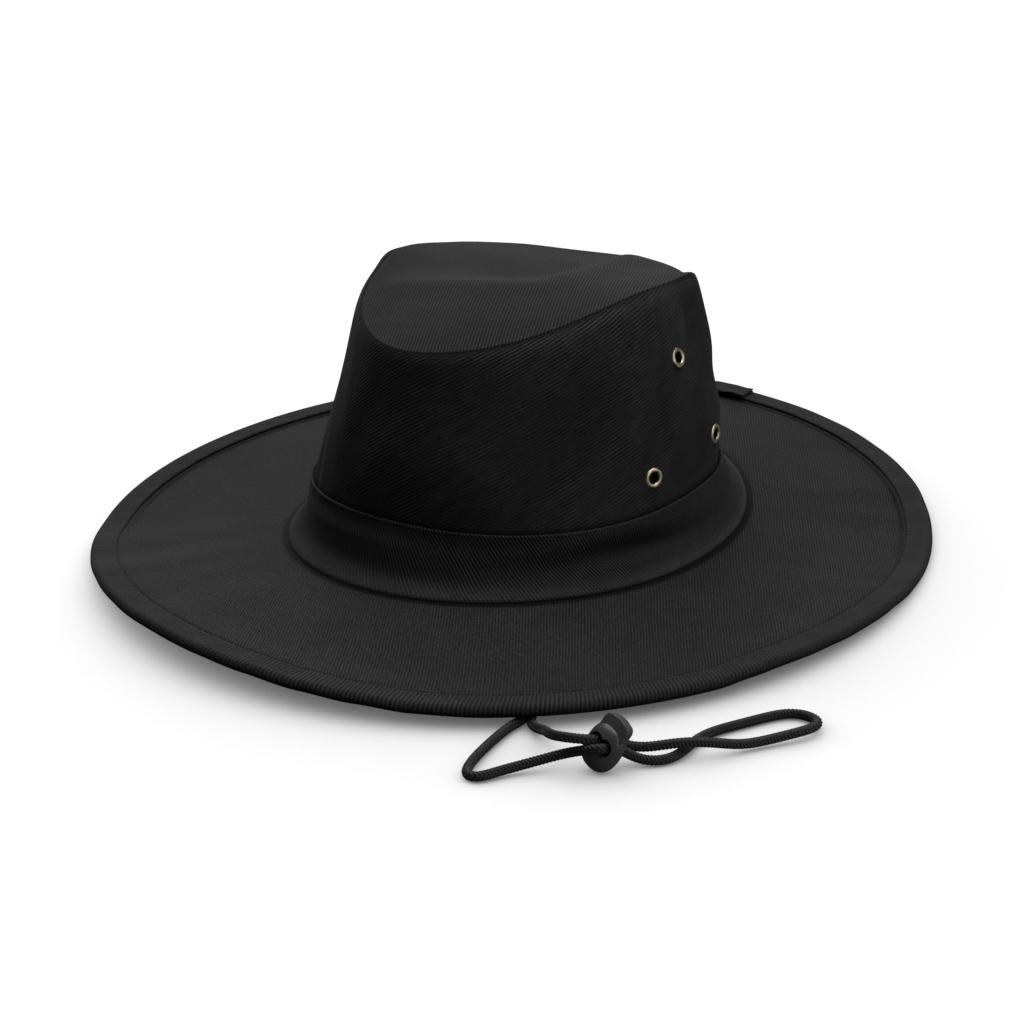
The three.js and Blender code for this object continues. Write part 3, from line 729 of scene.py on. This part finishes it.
# Soft folds of the wall: middle angle and share, lean in degrees over the height, width, length, depth in mm
WALL_FOLDS = [
    (350, 0.55, 18, 4.5, 0.30, -1.0), (358, 0.42, 22, 4.0, 0.28, 0.8), (340, 0.62, -10, 4.0, 0.25, 0.7),
    (8, 0.20, 40, 5.0, 0.16, -0.6), (24, 0.30, -30, 7.0, 0.22, 0.6), (38, 0.16, 25, 5.0, 0.14, -0.5),
    (52, 0.55, 30, 6.0, 0.20, -0.5), (66, 0.72, -35, 5.0, 0.16, 0.6), (84, 0.45, 15, 5.0, 0.26, -0.6),
    (96, 0.35, -12, 5.0, 0.22, 0.6), (110, 0.80, 10, 5.0, 0.14, -0.7), (112, 0.30, 0, 5.0, 0.20, 0.4),
    (150, 0.5, 25, 7.0, 0.3, -0.8), (172, 0.4, -20, 7.0, 0.3, 0.7), (205, 0.55, 20, 8.0, 0.3, -0.8),
    (235, 0.45, -25, 7.0, 0.3, 0.7), (262, 0.55, 22, 7.0, 0.3, -0.8), (290, 0.5, 10, 5.0, 0.3, 0.5),
    (322, 0.3, -12, 4.0, 0.25, -0.7), (128, 0.46, 0, 12.0, 0.14, -2.3),
]


def wall_detail(theta, share):
    """Soft folds in the cloth, in millimetres outwards."""
    low = bell(share, 0.1, 0.3)
    folds = 0.35 * np.sin(theta * 46 + 1.2) * around(theta, 318, 12) * low
    for middle, share_mid, lean, width, length, depth in WALL_FOLDS:
        across = degrees_from(theta, middle) - lean * (share - share_mid)
        folds = folds + depth * bell(across, 0, width) * bell(share, share_mid, length)
    for side in (1, -1):
        for _, angle, share_mid, _, turned, _ in EYELETS:
            off = degrees_from(theta, side * angle) * DEG * WALL_RADIUS
            up = (share - share_mid) * WALL_RISE
            folds = folds + turned * side * off * np.exp(-(off ** 2 + up ** 2) / 70)
    billow = 0.5 * np.sin(3.0 * theta + 4.2 * share) * np.sin(math.pi * share)
    billow = billow + 0.3 * np.sin(7.0 * theta - 5.0 * share + 0.8) * np.sin(math.pi * share)
    return folds + billow


def eyelet_frames():
    out = []
    for word, side in (("left", 1), ("right", -1)):
        for name, angle, share, ring_turn, _, rise in EYELETS:
            spot = np.array((angle if side > 0 else 360 - angle) * DEG), np.array(share)
            place = wall_face(*spot) + outward(spot[0]) * wall_detail(*spot)
            forwards = np.array([math.sin(azimuth) * side, -math.cos(azimuth), 0.0])
            z = unit(normals_of(wall_face, *spot) + forwards * ring_turn + zenith * rise)
            y = unit(zenith - z * (zenith @ z))
            out.append((f"eyelet_{word}_{name}", place, np.cross(y, z), y, z))
    return out


EYELET_PLACES = eyelet_frames()


def wall_slant(theta):
    """Running height by which the wall's ribs climb, as its cut piece of cloth curves round the crown."""
    return WALL_RADIUS * (0.5 * theta + 0.45 * np.sin(theta + 45 * DEG))


def cut_holes(outer):
    """Which faces of the wall's grid stay, once those inside an eyelet's tube are left out."""
    centre = (outer[:, :-1] + np.roll(outer, -1, 0)[:, 1:]) / 2
    keep = np.ones(centre.shape[:2], bool)
    for _, place, _, _, z in EYELET_PLACES:
        off = centre - place
        along = off @ z
        flat = np.linalg.norm(off - along[..., None] * z, axis=-1)
        keep &= ~((flat < HOLE_RADIUS) & (np.abs(along) < 6))
    return keep


def wall_uv(outer):
    """Cloth coordinates by face corner: round the hat, and up the wall less the slant of its ribs."""
    u, run = (values[:, :-1] for values in ring_uv(outer, WALL_RADIUS))
    return face_corners(u, run - wall_slant(math.pi + u / WALL_RADIUS))


def wall_object():
    n = 480
    upper = 0.86 + 0.14 * np.sin(np.linspace(0, 1, 20)[1:] * math.pi / 2)
    shares = np.concatenate([np.linspace(0, 0.86, 58), upper])
    th, sh = full_turn(n, shares)
    outer = wall_face(th, sh) + outward(th) * wall_detail(th, sh)[..., None]
    normal = normals_of(wall_face, th, np.clip(sh, 0.01, 0.985))
    inner = outer - normal * WALL * 0.9
    inner[:, -1] = outer[:, -1] - outward(th[:, -1]) * WALL
    # The foot runs down inside the band
    tuck = np.linspace(-6, 0, 6)[:-1, None] * zenith
    outer, inner = (np.concatenate([face[:, :1] + tuck, face], 1) for face in (outer, inner))
    share_all = np.concatenate([np.zeros(len(tuck)), shares])
    # Near the top a lighter strip, worn fading of the shoulder, then painted shade where the wall tucks under
    # the panel's seam; below, painted shade at the foot, where the wall runs into the band
    edge = 0.25 * bell(share_all, 0.97, 0.02) - 0.85 * bell(share_all, 1, 0.007)
    edge = edge - 0.85 * bell(share_all * WALL_RISE, 0, 1.6)
    th, sh = full_turn(n, share_all)
    # Painted shade in the folds' hollows and painted light on their ridges
    wear_and_painted_light = edge[None] + np.clip(0.22 * wall_detail(th, sh), -0.3, 0.2)
    # Painted light high on the left of the wall
    wear_and_painted_light = wear_and_painted_light + 0.3 * around(th, 340, 14) * bell(sh, 0.82, 0.16)
    # Darker at the right towards the back, lighter at the right front
    wear_and_painted_light = wear_and_painted_light - 0.15 * around(th, 112, 12) + 0.1 * around(th, 62, 25)
    crisp = 0.5 * around(th, 345, 22) - 0.9 * around(th, 28, 18) * bell(sh, 0.42, 0.3)
    crisp = crisp + 0.4 * bell(sh, 0.93, 0.12) * around(th, 40, 60)
    crisp = crisp - 0.9 * around(th, 115, 24) - 0.4 * bell(sh, 0.08, 0.14)
    keep = cut_holes(outer)
    faces = grid_faces(*outer.shape[:2])[keep].tolist()
    uv = wall_uv(outer)[keep].tolist()
    outer, inner = outer.reshape(-1, 3), inner.reshape(-1, 3)
    return cloth_object("crown_wall_cloth", outer, inner, faces, uv, wear_and_painted_light, crisp)


finish_piece(
    wall_object(),
    twill_material(
        "twill_wall", 0, 1.62, TONE, 0.55, 0.17, 0.3, patchy=0.16, grain=0.55, warp=0.35, mottle=0.24,
        uneven=0.8),
    "crown_wall")

# Eyelets: rolled brass rings


def eyelet_object(name, place, x, y, z):
    """A ring turned on a lathe: a profile of radius and height, swept round the ring's own axis z."""
    bend = np.linspace(0, math.pi, 14)
    roll_r = 3.3 + 1.0 * np.cos(bend)
    roll_h = 0.15 + 0.75 * np.sin(bend)
    tube = [(2.3, -0.4), (2.3, -2.0), (2.35, -2.9)]
    low = [(3.7, -3.0), (3.85, -2.7), (3.7, -2.45), (2.85, -2.4), (2.8, -0.2), (4.1, -0.1)]
    profile = np.array(list(zip(roll_r, roll_h)) + tube + low)
    phi = np.arange(48)[:, None, None] / 48 * TURN
    ring = place + profile[:, :1] * (np.cos(phi) * x + np.sin(phi) * y) + profile[:, 1:] * z
    u, v = ring_uv(ring, HOLE_RADIUS)
    # Darker inside the ring's tube
    wear_and_painted_light = np.repeat(np.where(profile[:, 0] < 2.4, -0.86, 0.0)[None], len(ring), 0)
    return ring_object(name + "_ring", ring, u, v, wear_and_painted_light)


brass = brass_material()
for name, place, x, y, z in EYELET_PLACES:
    finish_piece(eyelet_object(name, place, x, y, z), brass, name)

# Hat band with its rolled lip and its row of stitches


def band_height(theta):
    return wave(theta, BAND_TOP_HEIGHT) - wave(theta, BRIM_SEAM_HEIGHT)


def band_face(theta, share):
    """The band's middle face: upright above its knee, flaring out below it."""
    foot = brim_seam(theta)
    head = band_top(theta)
    knee = 0.48 + 0.06 * around(theta, 20, 50) + 0.45 * around(theta, 120, 32)
    soft = 0.16

    def bend(s):
        return (np.sqrt((knee - s) ** 2 + soft ** 2) + knee - s) / 2

    flare = (bend(share) - bend(1.0)) / (bend(0.0) - bend(1.0))
    flare = 0.8 * flare + 0.2 * (1 - share) ** 1.8
    point = lerp(head, foot, flare[..., None])
    point[..., 2] = lerp(wave(theta, BRIM_SEAM_HEIGHT), wave(theta, BAND_TOP_HEIGHT), share)
    return point


def band_fold(theta):
    """How far up the band its soft crease runs."""
    return 0.35 - 0.03 * around(theta, 18, 14) + 0.24 * around(theta, 62, 24) + 0.12 * around(theta, 105, 30)


def band_detail(theta, share):
    """The lip's bead, the stitch channel below it and the soft crease, in millimetres outwards."""
    down = (1 - share) * band_height(theta)
    bead = 0.10 * bell(down, 0.5, 0.4)
    channel = -0.18 * bell(down, 1.35, 0.35)
    ripple = 0.05 * np.sin(theta * 60) * bell(down, 3.0, 2.5)
    depth = 0.5 + 1.5 * around(theta, 350, 30) + 1.2 * around(theta, 74, 24) + 0.6 * around(theta, 200, 60)
    middle = band_fold(theta)
    fold = -depth * bell(share, middle, 0.15)
    bulge = 0.45 * depth * bell(share, middle + 0.26, 0.14)
    return bead + channel + ripple + fold + bulge


def band_object():
    th, sh = full_turn(560, stretches((0, 0.1, 0.86, 1), (11, 30, 20)))
    face = band_face(th, sh)
    height = band_height(th)
    normal = normals_of(band_face, th, np.clip(sh, 0.01, 0.99))
    outer = face + normal * band_detail(th, sh)[..., None]
    thick = WALL + 0.2 - 0.9 * ease((sh - 0.93) / 0.07)
    inner = face - normal * thick[..., None]
    inner[:, 0] = face[:, 0] - outward(th[:, 0]) * 3.6
    inner[:, -1] = face[:, -1] - outward(th[:, -1]) * thick[:, -1:]
    inner[..., 2] = np.maximum(inner[..., 2], face[:, :1, 2])
    outer = outer - normal * 0.5 * bell(sh * height, 0, 0.9)[..., None]
    bend = np.linspace(0, math.pi, 7)[1:-1]
    middle = (outer[:, -1] + inner[:, -1]) / 2
    half = (outer[:, -1] - inner[:, -1]) / 2
    lip = middle[:, None] + half[:, None] * np.cos(bend)[None, :, None]
    lip[..., 2] += 0.25 * np.sin(bend)[None, :]
    points = np.concatenate([outer, lip, inner[:, ::-1]], 1)
    u, v = ring_uv(points, BAND_RADIUS)
    down = (1 - sh) * height
    # A lighter line on the lip's bead, partly worn fading and partly painted highlight, and painted shade in
    # the stitch channel below it
    wear_and_painted_light = 0.3 * bell(down, 0.3, 0.4) - 0.25 * bell(down, 1.5, 0.4)
    # Painted light on the flare low down, which turns up to the light, and a lighter line just above the foot
    wear_and_painted_light = wear_and_painted_light + 0.8 * ease((0.3 - sh) / 0.22) + 0.2 * bell(sh * height, 1.9, 0.5)
    shade = around(th, 346, 38) + 0.95 * around(th, 76, 30)
    # Darker on the upper band at the right
    wear_and_painted_light = wear_and_painted_light - 0.22 * around(th, 82, 24) * ease((sh - 0.45) / 0.3)
    # Painted shade in the soft crease, strongest at the left front and at the right
    wear_and_painted_light = wear_and_painted_light - 0.78 * shade * bell(sh, band_fold(th), 0.12)
    # Painted light on the band above the crease at the left
    wear_and_painted_light = wear_and_painted_light + 0.3 * around(th, 345, 30) * bell(sh, 0.75, 0.13)
    # Painted shade in the gap along the band's foot
    wear_and_painted_light = wear_and_painted_light - 3.2 * bell(sh * height, 0, 0.7)
    # The lip lighter all round, partly worn fading of its fold and partly painted highlight
    wear_and_painted_light = np.concatenate([wear_and_painted_light, np.full(lip.shape[:2], 0.2), np.zeros(inner.shape[:2])], 1)
    crisp = 0.3 * around(th, 50, 45) - 0.6 * around(th, 320, 28) - 0.7 * around(th, 125, 26)
    crisp = crisp - 0.9 * ease((0.28 - sh) / 0.15)
    crisp = np.pad(crisp, ((0, 0), (0, points.shape[1] - crisp.shape[1])))
    return ring_object("hat_band_cloth", points, u, v, wear_and_painted_light, crisp)


finish_piece(
    band_object(),
    twill_material(
        "twill_band", -62, 1.2, TONE, 0.7, 0.16, 0.25, grain=0.6, warp=0.3, mottle=0.12, uneven=0.5),
    "hat_band")


def stitch_row(name, centres, tangents, normals, length, width, lift):
    """Small sewn stitches as one piece: short rounded threads that dip in at both ends."""
    rings = 6
    sides = 7
    t = np.linspace(-1, 1, rings)[:, None]
    phi = np.arange(sides)[:, None, None] / sides * TURN
    swell = np.sqrt(np.maximum(0.0, 1 - t ** 4)) * 0.94 + 0.06
    one_stitch = [face[::-1] for face in tube_faces(sides, rings)]
    points = []
    faces = []
    for i, (centre, ahead, normal) in enumerate(zip(centres, tangents, normals)):
        line = centre + ahead * t * length / 2 + normal * (lift * (1 - t ** 2) - 0.1)
        spoke = np.cos(phi) * np.cross(ahead, normal) + np.sin(phi) * normal
        points.append((line + swell * width / 2 * spoke).reshape(-1, 3))
        faces += [tuple(v + i * rings * sides for v in face) for face in one_stitch]
    return make_object(name, np.vstack(points), faces)


def thread_material():
    t = Tree("sewing_thread")
    fibre = t.noise(t.place(), 3000.0, 2.0)
    return t.surface(
        Base_Color=t.scaled((0.027, 0.027, 0.0275), t.range(fibre, 0.3, 0.7, 0.7, 1.3)),
        Roughness=t.range(fibre, 0.3, 0.7, 0.55, 0.75))


def band_row(share_of, count):
    """Middles, directions and outward normals of stitches along a line round the band."""
    theta = full_turn(count)
    share = share_of(theta)
    normal = normals_of(band_face, theta, share)
    centre = band_face(theta, share) + normal * band_detail(theta, share)[..., None]
    step = 0.002
    ahead = band_face(theta + step, share_of(theta + step)) - band_face(theta - step, share_of(theta - step))
    return centre, unit(ahead), normal


def below_lip(theta):
    return 1 - 1.35 / band_height(theta)


def above_foot(theta):
    return 2.6 / band_height(theta)


# Name, line, number of stitches, length and width of each
STITCHES = [
    ("band_stitches", below_lip, 432, 0.875, 0.34), ("band_foot_stitches", above_foot, 430, 0.75, 0.3),
]
thread = thread_material()
for name, line, count, length, width in STITCHES:
    finish_piece(stitch_row(name, *band_row(line, count), length, width, 0.1), thread)

# Brim


def brim_points(theta, share):
    """Top face of the brim from the seam (0) to the start of the hem (1)."""
    seam = brim_seam(theta)
    seam_height = wave(theta, BRIM_SEAM_HEIGHT) - GAP
    flat = hem_lift(theta) + (HEM_HEIGHT + BRIM_THICKNESS) / 2
    hem_start = oval(theta, BRIM_EDGE, 13)
    point = lerp(seam, hem_start, share[..., None])
    fall = 1 - (1 - share) ** 1.35
    point[..., 2] = lerp(seam_height, flat, fall)
    return point


def back_share(theta):
    """1 round the back of the brim, where the hem's edge shows as a dark groove, and 0 at its front."""
    return ease((0.35 - np.cos(theta - 30 * DEG)) / 0.6)


def brim_detail(theta, share):
    """A gentle unevenness of the stiffened cloth."""
    wide = np.sin(math.pi * share)
    a = 0.35 * np.sin(2.0 * theta + 3.0 * share + 0.4)
    b = 0.22 * np.sin(5.0 * theta - 4.0 * share + 2.0)
    return wide * (a + b)


def brim_object():
    th, sh = full_turn(560, stretches((0, 0.05, 0.95, 1), (8, 38, 8)))
    top = brim_points(th, sh)
    top[..., 2] += brim_detail(th, sh)
    behind = back_share(th)
    # Painted shade in the seam at the band's foot and, round the back, in the groove along the hem's inner
    # edge
    dark = -2.0 * bell(sh * BRIM_REACH, 0, 1.5) - 0.85 * behind * bell((1 - sh) * BRIM_REACH, 0, 1.0)
    # Painted light on the brim's front, which the crown shades, a little darker at the right, and painted
    # shade at the back behind the crown
    dark = dark + 0.2 * around(th, 15, 45) - 0.1 * around(th, 105, 35) - 0.34 * around(th, 165, 28)
    top[..., 2] += LIP * (1 - behind) * ease(1 - (1 - sh) * BRIM_REACH / 14)
    tuck_in = top[:, :1] - outward(th[:, :1]) * 4.6
    # Under the hem the brim steps down by the lip that the hem's groove shows
    rim = top[:, -1:, 2]
    step = rim - LIP * (1 - behind[:, -1:])
    rest = [(HEM_WIDTH + 0.15, rim), (HEM_WIDTH - 0.4, step), (1.7, step)]
    rest = [oval(th[:, :1], BRIM_EDGE, inset, height) for inset, height in rest]
    top = np.concatenate([tuck_in, top, *rest], 1)
    low = top.copy()
    low[..., 2] -= BRIM_THICKNESS
    points = np.concatenate([low, top[:, ::-1]], 1)
    u, v = plane_uv(points, azimuth)
    # The ribs fan out a little at the left
    u = u + 0.28 * np.minimum(u, 0) / 180 * (v + 130)
    wear_and_painted_light = np.zeros(points.shape[:2])
    wear_and_painted_light[:, -1 - dark.shape[1]:-1] = dark[:, ::-1]
    return ring_object("brim_cloth", points, u, v, wear_and_painted_light)


finish_piece(
    brim_object(),
    twill_material(
        "twill_brim", 89, 1.2, BRIM_TONE_WITH_PAINTED_LIGHT, 0.36, 0.10, 0.4, grain=1.8, weft=0.7, warp=0.2, mottle=0.06),
    "brim")

# Hem: the binding that wraps the brim's edge


def hem_object():
    theta = full_turn(900)
    lift = hem_lift(theta)
    bend = np.linspace(0, math.pi, 18)
    half = HEM_HEIGHT / 2
    profile = [(HEM_WIDTH, 0.9), (HEM_WIDTH, 0.25), (HEM_WIDTH - 0.25, 0.0)]
    profile += [(inset, 0.0) for inset in np.linspace(HEM_WIDTH - 1.5, 3.4, 6)]
    profile += [(2.4 * (1 - math.sin(b)), half - half * math.cos(b)) for b in bend]
    profile += [(inset, HEM_HEIGHT) for inset in np.linspace(3.4, HEM_WIDTH - 1.6, 8)]
    corner = np.linspace(0, math.pi / 2, 5)
    profile += [(HEM_WIDTH - 0.7 + 0.7 * math.sin(c), HEM_HEIGHT - 0.7 + 0.7 * math.cos(c)) for c in corner]
    profile += [(HEM_WIDTH, HEM_HEIGHT - 1.05), (1.4, HEM_HEIGHT - 1.0), (1.4, 1.0)]
    points = np.stack([oval(theta, BRIM_EDGE, inset, lift + height) for inset, height in profile], 1)
    inset, height = np.array(profile).T
    top = height > HEM_HEIGHT - 0.4
    pucker = 0.10 * np.sin(theta * 330)[:, None] * bell(inset, HEM_WIDTH, 1.6)[None]
    slack = np.sin(theta * 41) * np.sin(theta * 13 + 1) + 0.6 * np.sin(theta * 73 + 2)
    pucker = pucker + 0.16 * slack[:, None] * bell(inset, 7, 3.0)[None]
    points[..., 2] += np.where(top[None], pucker, 0)
    u, v = ring_uv(points, HEM_RADIUS)
    # A little lighter on top near the rolled edge
    wear_and_painted_light = np.where(top, 0.12 * bell(inset, 2.6, 1.4), 0)
    # Painted shade on the roll's lower half, towards its underside
    wear_and_painted_light = wear_and_painted_light - 0.87 * ease((3.2 - height) / 2.2) * (inset < 5)
    # Painted shade in the groove along the hem's inner edge, round the back
    groove = (height < HEM_HEIGHT - 0.45) & (height > 3.4) & (inset > 8)
    wear_and_painted_light = wear_and_painted_light[None] - 0.9 * groove[None] * back_share(theta)[:, None]
    # Painted light on the hem's top round the front
    wear_and_painted_light = wear_and_painted_light + 0.4 * (top[None] & (inset[None] > 2.5)) * around(theta, 30, 50)[:, None]
    near = around(theta, 30, 62) ** 2
    crisp = np.repeat((-1.0 + 1.5 * near)[:, None], len(inset), 1) + 0.4 * (inset < 3.5)[None]
    return ring_object("brim_hem_cloth", points, u, v, wear_and_painted_light, crisp)


finish_piece(
    hem_object(),
    twill_material("twill_hem", 84, 1.68, BRIM_TONE_WITH_PAINTED_LIGHT, 0.29, 0.11, 0.35, grain=1.3, warp=0.3),
    "brim_hem")

# Cord lock


def apply_modifiers(obj):
    old = obj.data
    obj.data = bpy.data.meshes.new_from_object(obj.evaluated_get(bpy.context.evaluated_depsgraph_get()))
    obj.modifiers.clear()
    bpy.data.meshes.remove(old)
    return obj


def moulded(name, build, rounds=3):
    """A solid run through a fine remesh, so that its edges come out moulded, and set in its place."""
    obj = build(name)
    remesh = obj.modifiers.new("remesh", "REMESH")
    remesh.mode = "VOXEL"
    remesh.voxel_size = 0.17 * MM
    soften = obj.modifiers.new("soften", "SMOOTH")
    soften.factor = 0.5
    soften.iterations = rounds
    apply_modifiers(obj)
    obj.data.polygons.foreach_set("use_smooth", [True] * len(obj.data.polygons))
    # From the lock's own axes (along its holes, across them, along its plunger) to the hat's frame
    axes = Matrix((HOLE_AXIS, SIDE_AXIS, PLUNGER_AXIS)).transposed()
    obj.data.transform(Matrix.Translation(Vector(LOCK_CENTRE) * MM) @ axes.to_4x4())
    return obj


LOCK_HALF = (5.0, 7.5, 9.4)
LOCK_POWER = 2.5
LOCK_DROP = 1.0
PLUNGER = {"width": 11.6, "thickness": 4.2, "foot": 1.1, "top": 11.8}
PLUNGER_STROKE = 2.2
WINDOW_HALF = 2.5


def lock_block(name):
    """A smooth block with round corners, between a ball and a box."""
    steep = math.pi / 2 - 0.02
    ph, la = np.meshgrid(np.arange(64) / 64 * TURN, np.linspace(-steep, steep, 40), indexing="ij")
    v = np.stack([np.cos(la) * np.cos(ph), np.cos(la) * np.sin(ph), np.sin(la)], -1)
    size = (np.abs(v) ** LOCK_POWER).sum(-1) ** (-1 / LOCK_POWER)
    points = v * size[..., None] * np.array(LOCK_HALF)
    points[..., 2] -= LOCK_DROP
    return grid_solid(name, points)


def hole_cutter(name, side):
    """One of the lock's two holes, wider at both mouths."""
    half = [(2.6, 2.0), (2.7, 3.0), (3.2, 4.2), (4.0, 5.6), (4.0, 6.5)]
    r, h = np.array([(r, -h) for r, h in half[::-1]] + half).T
    phi = np.arange(40)[:, None] / 40 * TURN
    points = np.stack([h + 0 * phi, side * STRAND_OFFSET + r * np.cos(phi), r * np.sin(phi)], -1)
    return grid_solid(name, points)


def cut_away(obj, cutters):
    for cutter in cutters:
        cutting = obj.modifiers.new("cut", "BOOLEAN")
        cutting.operation = "DIFFERENCE"
        cutting.solver = "EXACT"
        cutting.object = cutter
    apply_modifiers(obj)
    for cutter in cutters:
        bpy.data.objects.remove(cutter)
    return obj


def build_body(name):
    """The lock's body: a smooth block with a slot for the plunger and two holes for the cord."""
    low = -WINDOW_HALF - PLUNGER["foot"] - PLUNGER_STROKE - GAP
    thick = PLUNGER["thickness"] / 2 + GAP
    half = PLUNGER["width"] / 2 + GAP
    slot = prism("slot_cut", [(-half, low), (half, low), (half, 14), (-half, 14)], -thick, thick)
    return cut_away(lock_block(name), [slot, hole_cutter("hole_near", -1), hole_cutter("hole_far", 1)])


def plate_outline(half, foot, top, dome):
    """The plunger's outline: a plate whose top edge is a shallow dome with round shoulders."""
    radius = 2.6
    middle = half - radius
    turns = np.linspace(0, math.pi / 2, 7)
    shoulder = [(middle + radius * math.cos(c), top - dome - radius + radius * math.sin(c)) for c in turns]
    crest = [(y, top - dome * (y / middle) ** 2) for y in np.linspace(middle, -middle, 9)[1:-1]]
    return [(-half, foot), (half, foot), *shoulder, *crest, *[(-y, z) for y, z in shoulder[::-1]]]


def build_plunger(name):
    """The plunger: a plate with a window for the cord, longer than the strands by its stroke."""
    half = PLUNGER["width"] / 2
    thick = PLUNGER["thickness"] / 2
    outline = plate_outline(half, -WINDOW_HALF - PLUNGER["foot"], PLUNGER["top"], 0.5)
    window = []
    for side, rise, start in ((1, 0, -90), (1, PLUNGER_STROKE, 0), (-1, PLUNGER_STROKE, 90), (-1, 0, 180)):
        for a in np.linspace(start, start + 90, 8) * DEG:
            out = side * STRAND_OFFSET
            window.append((out + WINDOW_HALF * math.cos(a), rise + WINDOW_HALF * math.sin(a)))
    return cut_away(prism(name, outline, -thick, thick), [prism("window_cut", window, -4, 4)])


lock_body = moulded("lock_body_moulded", build_body)
finish_piece(lock_body, plastic_material("lock_plastic", 0.066, 0.3), "lock_body")
lock_plunger = moulded("lock_plunger_moulded", build_plunger, 4)
plunger_plastic = plastic_material("plunger_plastic", 0.085, 0.4)
finish_piece(lock_plunger, plunger_plastic, "lock_plunger", "plunger")

# Back tab, left blank

TAB = {"width": 20, "depth": 10.5, "thickness": 0.65, "inset": 2.6}


def tab_object(name, rise, shift):
    """One layer of the folded tab, a little crumpled."""
    a, d = np.meshgrid(np.linspace(-1, 1, 60), np.linspace(-1, 1, 34), indexing="ij")
    x = a * TAB["width"] / 2 + 0.25 * shift * (d < 0) * np.abs(d) ** 3
    middle = BRIM_EDGE["back"] - TAB["inset"] - TAB["depth"] / 2
    y = middle + d * TAB["depth"] / 2 * (1 - 0.03 * a ** 2) - 0.45 * shift * (1 - d) / 2
    base = hem_lift(np.array(math.pi)) + HEM_HEIGHT + GAP
    crumple = 0.22 * np.sin(4.2 * a + 1.5 * d + rise) + 0.16 * np.sin(7.0 * a - 2.4 * d + 1.0 + 2 * rise)
    open_end = 0.3 * shift * ease(-d)
    top = base + 0.6 + rise + crumple * (0.4 + 0.6 * (1 - d) / 2) + open_end
    low = np.maximum(top - TAB["thickness"], base - 0.05)
    edge = np.maximum(np.abs(a), np.abs(d)) ** 24
    mid = (top + low) / 2
    top = lerp(top, mid + 0.25, edge)
    low = lerp(low, mid - 0.25, edge)
    above, below = (np.stack([x, y, z], -1).reshape(-1, 3) for z in (top, low))
    faces = grid_faces(*a.shape, closed=False).reshape(-1, 4).tolist()
    uv = [[tuple(above[i, :2]) for i in face] for face in faces]
    return cloth_object(name, above, below, faces, uv)


tab_weave = twill_material("tab_weave", 45, 0.9, TONE, 0.25, 0.08, 0.3)
finish_piece(tab_object("back_tab_cloth", 0.95, 1), tab_weave, "back_tab")
finish_piece(tab_object("back_tab_underside", 0.0, -1), tab_weave, None)

# Floor and lights

floor_mesh = bpy.data.meshes.new("floor")
floor_mesh.from_pydata([(-6, -6, 0), (6, -6, 0), (6, 6, 0), (-6, 6, 0)], [], [(0, 1, 2, 3)])
floor = bpy.data.objects.new("floor", floor_mesh)
bpy.context.scene.collection.objects.link(floor)


def floor_material():
    """White sweep: to the camera it glows, with a painted soft shadow round the hat and painted shade under
    the crown, and it throws little back.
    """
    t = Tree("floor_white")
    t.surface(Base_Color=(0.12, 0.12, 0.12, 1), Roughness=0.9)
    # Painted shadow: the glow dims where ambient occlusion finds the hat near, its normal leant to the left
    # back so that the shadow falls to the front and right
    painted_shadow_occlusion = t.add("ShaderNodeAmbientOcclusion", samples=16)
    painted_shadow_occlusion.inputs["Distance"].default_value = 0.18
    toward = t.add("ShaderNodeCombineXYZ")
    for socket, value in zip(toward.inputs, (-0.26, 0.216, 0.941)):
        socket.default_value = value
    t.put(painted_shadow_occlusion.inputs["Normal"], toward.outputs[0])
    # Painted shade inside the oval of the crown, which the eyelets would otherwise show as white
    flat = t.add("ShaderNodeVectorMath", operation="MULTIPLY")
    t.put(flat.inputs[0], t.place())
    flat.inputs[1].default_value = (1 / 0.09, 1 / 0.112, 0)
    reach = t.add("ShaderNodeVectorMath", operation="LENGTH")
    t.put(reach.inputs[0], flat.outputs[0])
    painted_shade_under_crown = t.range(reach.outputs["Value"], 1.15, 1.6, 0.02, 1.0, smooth=True)
    strength = t.times(t.plus(0.05, t.times(painted_shadow_occlusion.outputs["AO"], 1.02)), painted_shade_under_crown)
    glow_with_painted_shadow = t.light("ShaderNodeEmission", strength)
    return t.for_camera(t.shader.outputs[0], glow_with_painted_shadow, "Material Output")


floor_mesh.materials.append(floor_material())


def area_light(name, place, aim, size, power):
    data = bpy.data.lights.new(name, "AREA")
    data.shape = "RECTANGLE"
    data.size, data.size_y = size
    data.energy = power
    light = bpy.data.objects.new(name, data)
    light.location = place
    light.rotation_euler = (Vector(aim) - Vector(place)).to_track_quat("-Z", "Y").to_euler()
    bpy.context.scene.collection.objects.link(light)


area_light("top_light", (0, 0.25, 1.7), (0, 0, 0), (2.4, 2.0), 34)
area_light("left_back_light", (-1.4, 1.4, 0.7), (0, 0, 0.2), (1.6, 1.2), 13)
area_light("right_light", (1.8, 0, 0.8), (0, 0, 0.5), (2.5, 1.5), 11.5)

world = bpy.data.worlds.new("studio")
bpy.context.scene.world = world
sky = Tree("studio", world)
dim, white = (sky.light("ShaderNodeBackground", strength) for strength in (0.02, 1.0))
sky.for_camera(dim, white, "World Output")

bpy.context.scene.view_settings.view_transform = "Standard"
